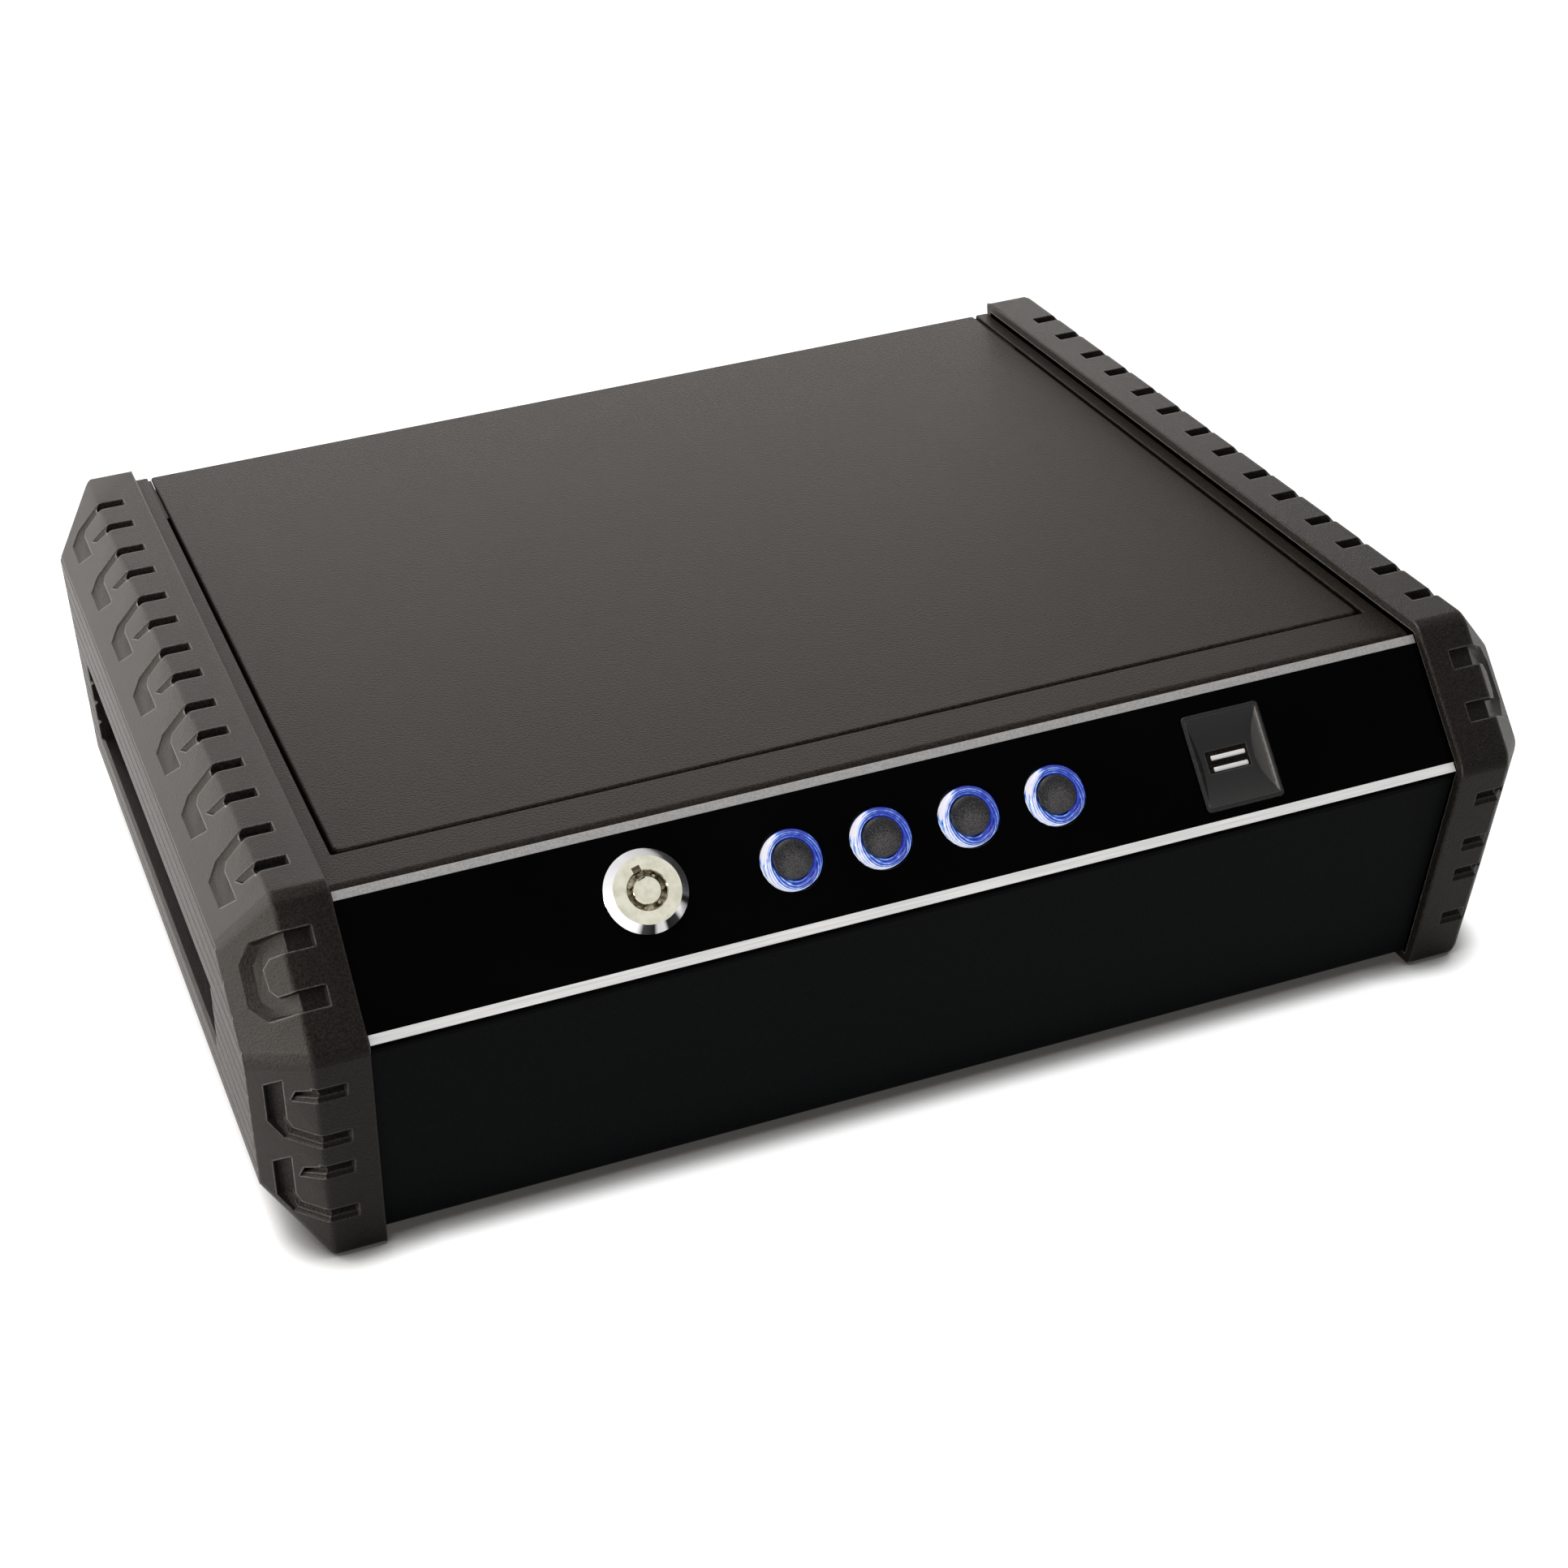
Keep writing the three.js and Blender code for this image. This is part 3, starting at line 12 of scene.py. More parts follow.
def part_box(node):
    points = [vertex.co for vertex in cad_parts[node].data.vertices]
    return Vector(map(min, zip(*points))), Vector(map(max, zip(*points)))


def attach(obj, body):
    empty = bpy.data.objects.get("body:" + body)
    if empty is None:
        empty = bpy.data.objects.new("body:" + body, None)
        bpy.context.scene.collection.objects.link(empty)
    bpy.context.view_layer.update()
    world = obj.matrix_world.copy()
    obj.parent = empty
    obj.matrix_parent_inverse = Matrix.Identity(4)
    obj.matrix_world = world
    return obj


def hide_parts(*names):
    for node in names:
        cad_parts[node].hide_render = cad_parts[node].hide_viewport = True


MM = 0.001
EPS = 1e-9  # lengths and heights that differ by less are the same

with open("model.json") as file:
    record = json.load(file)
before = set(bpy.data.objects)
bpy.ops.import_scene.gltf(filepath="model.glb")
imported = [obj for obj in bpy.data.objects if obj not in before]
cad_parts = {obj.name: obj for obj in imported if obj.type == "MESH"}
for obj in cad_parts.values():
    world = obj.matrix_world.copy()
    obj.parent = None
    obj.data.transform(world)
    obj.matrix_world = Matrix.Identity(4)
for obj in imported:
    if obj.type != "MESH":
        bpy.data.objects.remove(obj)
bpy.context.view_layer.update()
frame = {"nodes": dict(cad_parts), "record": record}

# Sizes that the pieces share: how far a cutter passes the surface, and the gap under a seated flange
HALF_WIDTH = 175.0
OVERRUN = 1.0
SEAT_GAP = 0.3

# Right bumper: the x of its planes, the (y, z) corners of its profile (foot, back foot, back top, top front,
# nose), how far the chamfer beside each side of the profile leans in, and the radii of the edges
BUMPER = {
    "inner": 147.0, "ridge": 161.0, "wall": 3.0,
    "profile": [(-131.1, 0.0), (154.2, 0.0), (154.2, 105.5), (-128.5, 105.5), (-154.2, 73.5)],
    "chamfers": [20.0, 17.0, 16.5, 18.8, 15.5],
    "corner_radii": [2.6, 2.6, 3.5, 2.4, 2.6],
    "ridge_radius": 0.9, "side_radius": 0.6, "inner_radius": 0.6, "round_steps": 5,
}
FOOT, BACK_FOOT, BACK_TOP, TOP, NOSE = range(5)
RIB = {"lowest": 20.4, "pitch": 6.8, "count": 11, "width": 1.7, "depth": 1.0, "end_inset": 0.4}
SLOT = {
    "low": 34.0, "rib_count": 4, "back": 113.7, "front_low": -77.2, "front_step": 2.9,
    "tip_lean": 1.2, "depth": 17.0,
}

# Tread marks: stations of a groove as ((along, across) of its outer edge, the same of its inner edge)
MARK = {
    "depth": 1.1, "front_depth": 2.0, "half_width": 2.6, "arm": 7.6, "end_lean": 0.5, "miter": 0.7,
    "band_share": 2.3, "front_band_share": 1.15, "loop_depth": 1.8,
    "top_first": 15.4, "top_pitch": 37.25, "top_pairs": 7, "pair_gap": 17.6,
    "front_first": 12.5, "front_pitch": 29.5, "front_pairs": 2, "back_first": 17.0,
}
HOOK = [
    ((2.6, -0.7), (-2.6, -0.7)), ((2.6, 0.0), (-2.6, 0.0)), ((4.9, 11.2), (-0.9, 8.2)),
    ((1.2, 15.8), (-3.4, 9.8)), ((-12.5, 15.8), (-18.0, 9.8)),
]
STUB = [((2.5, -0.7), (-2.5, -0.7)), ((2.5, 0.0), (-2.5, 0.0)), ((6.2, 8.0), (1.6, 6.2))]
LOOP = [
    ((8.9, -0.7), (14.0, -0.7)), ((8.7, 2.0), (14.0, 2.0)), ((8.3, 11.5), (13.9, 5.6)),
    ((12.5, 16.7), (15.8, 8.7)), ((23.1, 17.2), (21.1, 8.4)), ((28.1, 11.4), (23.4, 6.0)),
    ((28.6, 2.0), (23.6, 2.0)), ((28.6, -0.7), (23.6, -0.7)),
]
LOOP_ARMS = [11.45, 26.1]

# Groove sections as (share of the way from the outer edge to the inner one, share of the depth)
ARM_SHARES = [(0.0, 0.0), (0.04, 1.0), (0.3, 1.0), (0.6, 1.0), (0.8, 1.0), (0.96, 1.0), (1.0, 0.0)]
WALL_SHARES = [(0.0, 0.0), (0.03, 0.25), (0.44, 1.0), (0.6, 1.0), (0.8, 1.0), (0.96, 1.0), (1.0, 0.0)]
TILT_SHARES = [(0.0, 0.0), (0.03, 0.12), (0.3, 0.6), (0.6, 1.05), (0.8, 1.35), (0.97, 1.6), (1.0, 0.0)]
STEP_SHARES = [(0.0, 0.0), (0.09, 0.3), (0.27, 0.36), (0.38, 0.9), (0.72, 1.0), (0.96, 1.0), (1.0, 0.0)]
FRONT_TILT = [(0.0, 0.0), (0.03, 0.8), (0.3, 0.9), (0.6, 1.0), (0.8, 1.0), (0.97, 1.0), (1.0, 0.0)]
RAMP_SHARES = [(0.0, 0.0), (0.18, 0.5), (0.36, 1.0), (0.6, 1.0), (0.8, 1.0), (0.97, 0.8), (1.0, 0.0)]

# The sloped fascia: its origin, and its axes up the slope and out of it
FACE_ORIGIN = Vector((0.0, -127.608, 101.5))
FACE_UP = Vector((0.0, 0.62618, 0.779679))
FACE_OUT = Vector((0.0, -0.779679, 0.62618))
FASCIA_THICKNESS = 2.1

# On the fascia, x is across it, slope is down it, and heights and depths are from its face
BUTTONS = {"places": [-34.49, -10.62, 13.25, 37.12], "slope": 18.2, "sides": 96}
RING = {
    "outer": 7.75, "crest": 6.9, "dip": 6.2, "inner": 5.5, "rise": 1.2, "dip_rise": 0.55,
    "inner_rise": 0.75,
}
CAP = {
    "radius": 5.1, "rise": 2.1, "shoulder": 1.1, "flange": 6.2, "flange_height": 1.1, "stem": 2.0,
    "stem_length": 0.7,
}
LOCK = {
    "x": -72.625, "slope": 17.4, "head": 10.7, "face": 8.6, "edge": 1.5, "rise": 3.3, "barrel": 9.3,
    "barrel_depth": 22.0, "bore": 5.25, "lip": 0.25, "head_sides": 128, "keyway": 4.5,
    "plug": 4.95, "plug_depth": 24.0, "tail": 3.0, "tail_depth": 27.0, "post": 3.65, "post_rise": 3.0,
    "plug_sides": 96, "notch": 2.2, "notch_depth": 1.5, "notch_turn": 14.0,
    "pins": 7, "pin": 0.5, "pin_top": 0.8, "pin_ring": 4.28, "pin_rise": 2.6, "pin_sides": 20,
    "turn_share": 0.04,
}
READER = {
    "corner": 1.3, "corner_steps": 5,
    "middle": 86.45, "half_width": 11.1, "top": 6.6, "low": 32.6, "rise": 0.8, "flange": 0.5,
    "body_depth": 12.0, "body_inset": 1.2, "scoop_half": 10.45, "scoop_middle": 19.5,
    "scoop_reach": 11.9, "scoop_depth": 3.2, "scoop_share": 0.985, "scoop_steps": 28, "wall_lean": 0.95,
    "bar_pocket": (-5.9, 5.9, 16.55, 22.45), "pocket_depth": 4.1,
}

# Painted reflection on the lock's bevel: its greys by clock degrees, and the white where the painted fields
# begin and end
LOCK_PAINTED_REFLECTION = (
    (0, 0.62), (30, 0.5), (90, 0.45), (108, 0.6), (113, 0.03), (119, 0.05), (124, 0.85), (138, 0.6),
    (145, 0.02), (163, 0.01), (168, 0.55), (179, 0.5), (184, 0.01), (201, 0.04), (207, 0.6), (213, 0.9),
    (300, 0.92), (325, 0.75),
)
PAINTED_REFLECTION_WHITE = (0.95, 0.95, 0.93)
# The ring's light: how fine its arcs are, and how much the arcs and the patches add
RING_LIGHT = {"arcs": 150.0, "arc_share": 0.27, "patch_share": 0.7}

# The bright strips with their upper and lower edges, and the reader's bars with their middles
STRIP = {"half_length": 146.6, "rise": 0.15, "lip": 0.2, "depth": 1.0}
STRIPS = {"trim_strip_upper": (-0.6, 1.75), "trim_strip_lower": (34.9, 37.45)}
BAR = {"half_length": 5.0, "half_width": 0.68, "low": -3.8, "high": -2.1, "aside": 0.35}
BARS = {"reader_bar_upper": 18.45, "reader_bar_lower": 21.5}

# Wound springs as (wire, turns), with the steps in a turn and the sides of the wire
SPRINGS = {"lid_spring_left": (1.05, 13), "lid_spring_right": (1.05, 13), "return_spring": (0.8, 8)}
SPRING_STEPS, SPRING_SIDES = 18, 8

# The painted shade on the body's front, a darker and duller copy of the powder coat, lies this far under the
# fascia's origin and within this reach of the front
FRONT = {"below": 25.0, "reach": 26.0, "facing": -0.8}
# Corners of the ledge that closes the back end of the gap beside the lid, on the right
LEDGE = ((141.65, 120.0, 94.0), (143.5, 152.6, 100.6))
# Nodes that keep their CAD shape, with the radius of their edges
SOFTENED = {
    "fascia_panel": 0.25, "inner_cover": 0.3, "battery_cover": 0.4, "lid_striker": 0.4, "latch_bolt": 0.3,
    "latch_bracket": 0.3, "hinge_leaf_body": 0.25, "hinge_leaf_lid": 0.25, "solenoid_body": 0.5,
    "battery_holder": 0.3,
}
PADS = {"lid_pad": 0.9, "floor_mat": 0.9}
PAD = {"inset": 0.25, "cuts": 24, "edge": 1.6}

# Materials: the slow patches' share of the grain, the plain names of the shader's inputs, and the places of
# the colour sockets (two inputs and the result) on a Mix node, which has others of the same names
PATCH_SHARE = 0.08
SHADER_INPUTS = {
    "metallic": "Metallic", "specular": "Specular IOR Level", "tint": "Specular Tint", "ior": "IOR",
    "sheen": "Sheen Weight", "light": "Emission Color", "glow": "Emission Strength",
}
MIX_COLOUR_SOCKETS = (6, 7, 2)

# Studio. The camera is the photograph's. Lamps: place, aim, size and watts
CAMERA = {
    "place": (-235.72, -749.66, 464.35), "aim": (0.27314, 0.83136, -0.48398), "roll": -4.357,
    "lens": 69.147, "sensor": 36.0, "clip": (0.05, 50.0),
}
LAMPS = {
    "overhead": ((-150.0, 100.0, 1500.0), (0.0, 0.0, 60.0), (1000.0, 1000.0), 15.0),
    "back": ((350.0, 2200.0, 400.0), (0.0, 0.0, 200.0), (2200.0, 720.0), 14.4),
    "back_left": ((-1500.0, 1430.0, 260.0), (0.0, 0.0, 110.0), (1400.0, 560.0), 24.0),
    "side": ((-1640.0, 120.0, 250.0), (0.0, 0.0, 60.0), (1150.0, 480.0), 50.0),
}
LAMP_COLOUR = (1.0, 0.945, 0.89)
WORLD_LIGHT = 0.35
FLOOR = {"half": 9000.0, "shadow_reach": 14.0}


# Mesh helpers

def linked(name, data):
    obj = bpy.data.objects.new(name, data)
    bpy.context.scene.collection.objects.link(obj)
    return obj


def built(name, bm):
    """A mesh object from millimetres."""
    bmesh.ops.recalc_face_normals(bm, faces=bm.faces)
    bmesh.ops.scale(bm, vec=(MM, MM, MM), verts=bm.verts)
    mesh = bpy.data.meshes.new(name)
    bm.to_mesh(mesh)
    bm.free()
    return linked(name, mesh)


def skinned(bm, rings):
    """Rings of equally many corners joined by quads, with both ends capped."""
    rows = [[bm.verts.new(corner) for corner in ring] for ring in rings]
    count = len(rows[0])
    for low, high in zip(rows, rows[1:]):
        for i in range(count):
            j = (i + 1) % count
            bm.faces.new((low[i], low[j], high[j], high[i]))
    bm.faces.new(reversed(rows[0]))
    bm.faces.new(rows[-1])


def at_x(outline, x):
    """An outline of (y, z) corners as a ring in the plane of this x."""
    return [(x, y, z) for y, z in outline]


def inset_outline(points, distances):
    """Each side of a closed outline moved inwards by its own distance."""
    lines = []
    for i, point in enumerate(points):
        run = (Vector(points[(i + 1) % len(points)]) - Vector(point)).normalized()
        start = Vector(point) + Vector((-run.y, run.x)) * distances[i]
        lines.append((start, run))
    corners = []
    for i, (start, run) in enumerate(lines):
        before, before_run = lines[i - 1]
        along = (start - before).cross(run) / before_run.cross(run)
        corners.append(tuple(before + before_run * along))
    return corners


def settled(obj):
    """The object's modifiers worked into its mesh."""
    graph = bpy.context.evaluated_depsgraph_get()
    mesh = bpy.data.meshes.new_from_object(obj.evaluated_get(graph))
    old = obj.data
    obj.modifiers.clear()
    obj.data = mesh
    bpy.data.meshes.remove(old)
    return obj


def carved(obj, *cutters):
    """The object with the cutters taken out of it, which are used up."""
    for cutter in cutters:
        cut = obj.modifiers.new("cut", "BOOLEAN")
        cut.operation = "DIFFERENCE"
        cut.solver = "MANIFOLD"
        cut.object = cutter
    settled(obj)
    for cutter in cutters:
        bpy.data.objects.remove(cutter)
    return obj


def rounded(obj, width, segments=2, angle=32.0, clamp=False):
    bevel = obj.modifiers.new("round", "BEVEL")
    bevel.width = width * MM
    bevel.segments = segments
    bevel.limit_method = "ANGLE"
    bevel.angle_limit = math.radians(angle)
    bevel.use_clamp_overlap = clamp
    bevel.miter_outer = "MITER_ARC"
    return cleaned(settled(obj))


def smoothed(obj, angle=40.0):
    obj.data.shade_smooth()
    obj.data.set_sharp_from_angle(angle=math.radians(angle))
    weighted = obj.modifiers.new("normals", "WEIGHTED_NORMAL")
    weighted.keep_sharp = True
    weighted.weight = 80
    return settled(obj)


def cleaned(obj, distance=0.002):
    """Doubled corners merged and faces without an area taken out."""
    bm = bmesh.new()
    bm.from_mesh(obj.data)
    bmesh.ops.remove_doubles(bm, verts=bm.verts, dist=distance * MM)
    bmesh.ops.dissolve_degenerate(bm, edges=bm.edges, dist=distance * MM)
    bm.to_mesh(obj.data)
    bm.free()
    return obj


def tidied(obj, distance=0.01):
    """The same, with flat facets joined, pinholes closed and needless corners between two edges left out."""
    cleaned(obj, distance)
    bm = bmesh.new()
    bm.from_mesh(obj.data)
    bmesh.ops.dissolve_limit(
        bm, angle_limit=math.radians(0.8), verts=bm.verts, edges=bm.edges, delimit={"MATERIAL"},
    )
    bmesh.ops.holes_fill(bm, edges=[edge for edge in bm.edges if edge.is_boundary], sides=8)
    between = [vert for vert in bm.verts if len(vert.link_edges) == 2]
    straight = [vert for vert in between if vert.calc_edge_angle(math.pi) < math.radians(30.0)]
    bmesh.ops.dissolve_verts(bm, verts=straight)
    bm.to_mesh(obj.data)
    bm.free()
    return obj


def face_matrix(x=0.0, slope=0.0):
    """The fascia's frame at a place on it, X across, Y up the slope and Z out."""
    place = FACE_ORIGIN + Vector((x, 0.0, 0.0)) - FACE_UP * slope
    across = Vector((1.0, 0.0, 0.0))
    columns = Matrix((across, FACE_UP, FACE_OUT)).transposed().to_4x4()
    return Matrix.Translation(place) @ columns


def turned(name, profile, count, matrix):
    """A turned piece from a profile of (radius, height) points, which may start and end on the axis."""
    bm = bmesh.new()
    rows = []
    for radius, height in profile:
        spokes = [math.tau * i / count for i in range(count if radius > EPS else 1)]
        rows.append([
            bm.verts.new((radius * math.cos(t), radius * math.sin(t), height)) for t in spokes
        ])
    if len(rows[0]) > 1:
        rows.append(rows[0])
    for low, high in zip(rows, rows[1:]):
        for i in range(count):
            j = (i + 1) % count
            corners = [low[i % len(low)], low[j % len(low)], high[j % len(high)], high[i % len(high)]]
            bm.faces.new(list(dict.fromkeys(corners)))
    bm.transform(matrix)
    return built(name, bm)


def block(low, high, matrix=None):
    """A box between two corners, as a new bmesh."""
    bm = bmesh.new()
    bmesh.ops.create_cube(bm, size=1.0)
    middle = (Vector(low) + Vector(high)) / 2
    size = Vector(high) - Vector(low)
    bmesh.ops.scale(bm, vec=size, verts=bm.verts)
    bmesh.ops.translate(bm, vec=middle, verts=bm.verts)
    if matrix:
        bm.transform(matrix)
    return bm


# Materials

class Graph:
    """A node tree under construction, whose helpers take and give sockets."""

    def __init__(self, tree):
        self.tree = tree
        self.tree.nodes.clear()

    def add(self, kind, inputs, **settings):
        """A node with its settings, and its inputs as plain values or as the sockets that feed them."""
        node = self.tree.nodes.new(kind)
        for key, value in settings.items():
            setattr(node, key, value)
        for key, value in inputs.items():
            if isinstance(value, bpy.types.NodeSocket):
                self.tree.links.new(value, node.inputs[key])
            elif value is not None:
                node.inputs[key].default_value = value
        return node

    def math(self, operation, *terms):
        return self.add("ShaderNodeMath", dict(enumerate(terms)), operation=operation).outputs["Value"]

    def spread(self, source, low, high, start=0.3, end=0.7):
        """A value that goes from low to high as the source goes from start to end."""
        return self.add("ShaderNodeMapRange", {
            "Value": source, "From Min": start, "From Max": end, "To Min": low, "To Max": high,
        }).outputs["Result"]

    def seen(self):
        """1 for rays that show the background: from the camera, in reflections and through clear pieces."""
        rays = self.add("ShaderNodeLightPath", {}).outputs
        direct = self.math("MAXIMUM", rays["Is Camera Ray"], rays["Is Glossy Ray"])
        return self.math("MAXIMUM", direct, rays["Is Transmission Ray"])


class Surface(Graph):
    """A material under construction, with its own object coordinates. Its sizes are in millimetres."""

    def __init__(self, name):
        self.material = bpy.data.materials.new(name)
        self.material.use_nodes = True
        super().__init__(self.material.node_tree)
        self.coords = self.add("ShaderNodeTexCoord", {}).outputs

    def noise(self, size, detail, rough=0.55, place=None):
        """Noise whose features are about this size."""
        return self.add("ShaderNodeTexNoise", {
            "Scale": 1 / (size * MM), "Detail": detail, "Roughness": rough,
            "Vector": self.coords["Object"] if place is None else place,
        }).outputs["Fac"]

    def cells(self, size):
        return self.add("ShaderNodeTexVoronoi", {
            "Scale": 1 / (size * MM), "Vector": self.coords["Object"],
        }).outputs["Distance"]

    def with_patches(self, fine, size):
        """Fine noise with a little of a slow one."""
        return self.add("ShaderNodeMix", {
            "Factor": PATCH_SHARE, "A": fine, "B": self.noise(size, 2.0),
        }, data_type="FLOAT").outputs["Result"]

    def ramp(self, source, *stops):
        """Colours by the source's value, from stops of (value, colour)."""
        node = self.add("ShaderNodeValToRGB", {"Fac": source})
        elements = node.color_ramp.elements
        for i, (place, colour) in enumerate(stops):
            element = elements[i] if i < 2 else elements.new(place)
            element.position = place
            element.color = (*colour, 1.0)
        return node.outputs["Color"]

    def bump(self, source, strength, distance, under=None):
        """Relief of this height, over other normals."""
        return self.add("ShaderNodeBump", {
            "Height": source, "Strength": strength, "Distance": distance * MM, "Normal": under,
        }).outputs["Normal"]

    def soft_edge(self, radius):
        """Normals that round the sharp edges by this radius."""
        return self.add("ShaderNodeBevel", {"Radius": radius * MM}, samples=6).outputs["Normal"]

    def edge_wear_and_highlight(self, grain, colour, dark, light, reach):
        """Edge wear and painted highlight: a lighter colour on sharp outer edges, where the far side is
        within reach.
        """
        inside = self.add(
            "ShaderNodeAmbientOcclusion", {"Distance": reach * MM}, inside=True, only_local=True, samples=6,
        )
        edge = self.spread(inside.outputs["AO"], 1.0, 0.0, 0.6, 0.92)
        worn_and_highlit = self.ramp(grain, (0.3, dark), (0.65, light))
        first, second, result = MIX_COLOUR_SOCKETS
        return self.add(
            "ShaderNodeMix", {"Factor": edge, first: colour, second: worn_and_highlit}, data_type="RGBA",
        ).outputs[result]

    def shaded(self, colour, rough, normal=None, **values):
        """The material, finished with sockets for these three and with the shader's own values."""
        inputs = {"Base Color": colour, "Roughness": rough, "Normal": normal}
        inputs.update((SHADER_INPUTS[key], value) for key, value in values.items())
        shader = self.add("ShaderNodeBsdfPrincipled", inputs)
        self.add("ShaderNodeOutputMaterial", {"Surface": shader.outputs["BSDF"]})
        return self.material


def grained(name, dark, light, grain, rough, bump, specular, edge=None, worn_and_highlit=None, tint=(1.0, 1.0, 1.0)):
    """Paint or plastic: a fine grain over slow patches, in colour, roughness and relief, and where asked,
    lighter outer edges of edge wear and painted highlight.
    """
    made = Surface(name)
    fine = made.noise(grain, 4.0, 0.6)
    mixed = made.with_patches(fine, 25.0)
    colour = made.ramp(mixed, (0.35, dark), (0.65, light))
    if worn_and_highlit:
        colour = made.edge_wear_and_highlight(fine, colour, *worn_and_highlit, edge)
    relief = made.bump(fine, *bump, under=made.soft_edge(edge) if edge else None)
    return made.shaded(colour, made.spread(mixed, *rough), relief, specular=specular, tint=(*tint, 1.0))


def bumper_plastic():
    made = Surface("bumper_plastic")
    fine = made.noise(0.55, 5.0, 0.65)
    mixed = made.with_patches(fine, 18.0)
    colour = made.ramp(mixed, (0.38, (0.0035, 0.003, 0.0025)), (0.64, (0.022, 0.0192, 0.017)))
    # Lighter outer edges: edge wear and painted highlight on lips and ridges
    colour = made.edge_wear_and_highlight(fine, colour, (0.045, 0.042, 0.04), (0.17, 0.163, 0.157), reach=0.5)
    grain = made.bump(fine, 0.8, 0.3, under=made.soft_edge(0.4))
    relief = made.bump(made.cells(0.7), 0.2, 0.06, under=grain)
    return made.shaded(
        colour, made.spread(mixed, 0.3, 0.48), relief, specular=0.07, tint=(1.0, 0.95, 0.91, 1.0),
    )


def gloss_black():
    made = Surface("gloss_black")
    slow = made.noise(30.0, 2.0)
    colour = made.ramp(slow, (0.3, (0.0008, 0.0009, 0.0009)), (0.7, (0.0013, 0.0014, 0.0015)))
    return made.shaded(colour, made.spread(slow, 0.05, 0.09), specular=0.008)


def brushed(name, dark, light, stretch, rough, metallic):
    """Metal with a fine grain, drawn out along X by its stretch."""
    made = Surface(name)
    place = made.add("ShaderNodeMapping", {"Vector": made.coords["Object"], "Scale": stretch})
    grain = made.noise(0.5, 4.0, place=place.outputs["Vector"])
    colour = made.ramp(grain, (0.35, dark), (0.65, light))
    return made.shaded(colour, made.spread(grain, *rough), made.bump(grain, 0.15, 0.02), metallic=metallic)


def chrome(name, dark, light, size):
    made = Surface(name)
    slow = made.noise(size, 2.0)
    colour = made.ramp(slow, (0.35, dark), (0.65, light))
    return made.shaded(colour, made.spread(slow, 0.16, 0.07), made.bump(slow, 0.15, 0.12), metallic=1.0)


def chrome_with_painted_reflection():
    """Chrome with the bright and dark fields of a polished cone's reflections painted into its colour, by
    clock degrees round its middle.
    """
    made = Surface("lock_bevel_painted_reflection")
    matrix = face_matrix(LOCK["x"], LOCK["slope"])
    place = made.add("ShaderNodeMapping", {
        "Vector": made.coords["Object"], "Location": matrix.to_translation() * MM,
        "Rotation": matrix.to_euler(),
    }, vector_type="TEXTURE").outputs["Vector"]
    turn = made.add("ShaderNodeTexGradient", {"Vector": place}, gradient_type="RADIAL").outputs["Fac"]
    # The painted reflection: white and dark greys by the turn round the lock's middle
    stops = sorted((((270 - clock) % 360) / 360, (grey, grey * 0.98, grey)) for clock, grey in LOCK_PAINTED_REFLECTION)
    colour = made.ramp(turn, (0.0, PAINTED_REFLECTION_WHITE), *stops, (1.0, PAINTED_REFLECTION_WHITE))
    slow = made.noise(4.0, 2.0)
    return made.shaded(colour, made.spread(slow, 0.1, 0.16), made.bump(slow, 0.1, 0.06), metallic=1.0)


def round_place(made):
    """The ways across and up a round piece, from 0 to 1, and the distance from its middle."""
    split = made.add("ShaderNodeSeparateXYZ", {"Vector": made.coords["Generated"]}).outputs
    across, up = split["X"], split["Z"]
    centred = [made.math("SUBTRACT", way, 0.5) for way in (across, up)]
    squares = [made.math("MULTIPLY", way, way) for way in centred]
    return across, up, made.math("SQRT", made.math("ADD", *squares))


def lit_ring():
    """Clear plastic that a blue lamp under it lights, with fine arcs, and with painted highlights that turn
    its glow nearly white at its left.
    """
    made = Surface("button_clear")
    across, up, radius = round_place(made)
    patches = made.noise(1.7, 3.0)
    # Painted highlights: the glow turns white towards the lower left and has a glint at the upper left
    painted_highlight_lower_left = made.spread(made.math("ADD", up, across), 0.62, 0.0, 0.4, 1.5)
    painted_highlight_upper_left = made.spread(made.math("SUBTRACT", up, across), 0.0, 0.6, 0.56, 0.7)
    arcs = made.math("SINE", made.math("MULTIPLY", radius, RING_LIGHT["arcs"]))
    sides = made.math("ADD", painted_highlight_lower_left, painted_highlight_upper_left)
    arcs_and_painted_highlights = made.math("MULTIPLY_ADD", arcs, RING_LIGHT["arc_share"], sides)
    glow_and_painted_highlights = made.math("MULTIPLY_ADD", patches, RING_LIGHT["patch_share"], arcs_and_painted_highlights)
    light = made.ramp(
        made.math("SUBTRACT", glow_and_painted_highlights, made.spread(radius, 0.5, 0.1, 0.345, 0.4)),
        (0.2, (0.01, 0.02, 0.3)), (0.42, (0.04, 0.11, 0.7)), (0.54, (0.16, 0.4, 0.95)),
        (0.64, (0.4, 0.6, 1.0)), (0.8, (0.97, 0.93, 1.0)),
    )
    tint = made.ramp(patches, (0.3, (0.01, 0.014, 0.06)), (0.7, (0.04, 0.05, 0.1)))
    return made.shaded(
        tint, made.spread(patches, 0.05, 0.14), made.bump(patches, 0.2, 0.2), light=light, glow=0.85,
        ior=1.45,
    )


def cap_grey():
    made = Surface("button_grey")
    _, _, radius = round_place(made)
    fine = made.noise(0.3, 3.0)
    # Painted shade: the domed cap is darker towards its edge
    grain_with_painted_shade = made.math("SUBTRACT", fine, made.spread(radius, 0.0, 0.22, 0.2, 0.42))
    colour = made.ramp(grain_with_painted_shade, (0.28, (0.006, 0.006, 0.009)), (0.62, (0.11, 0.107, 0.108)))
    return made.shaded(colour, made.spread(fine, 0.25, 0.4), made.bump(fine, 0.3, 0.05), specular=0.2)


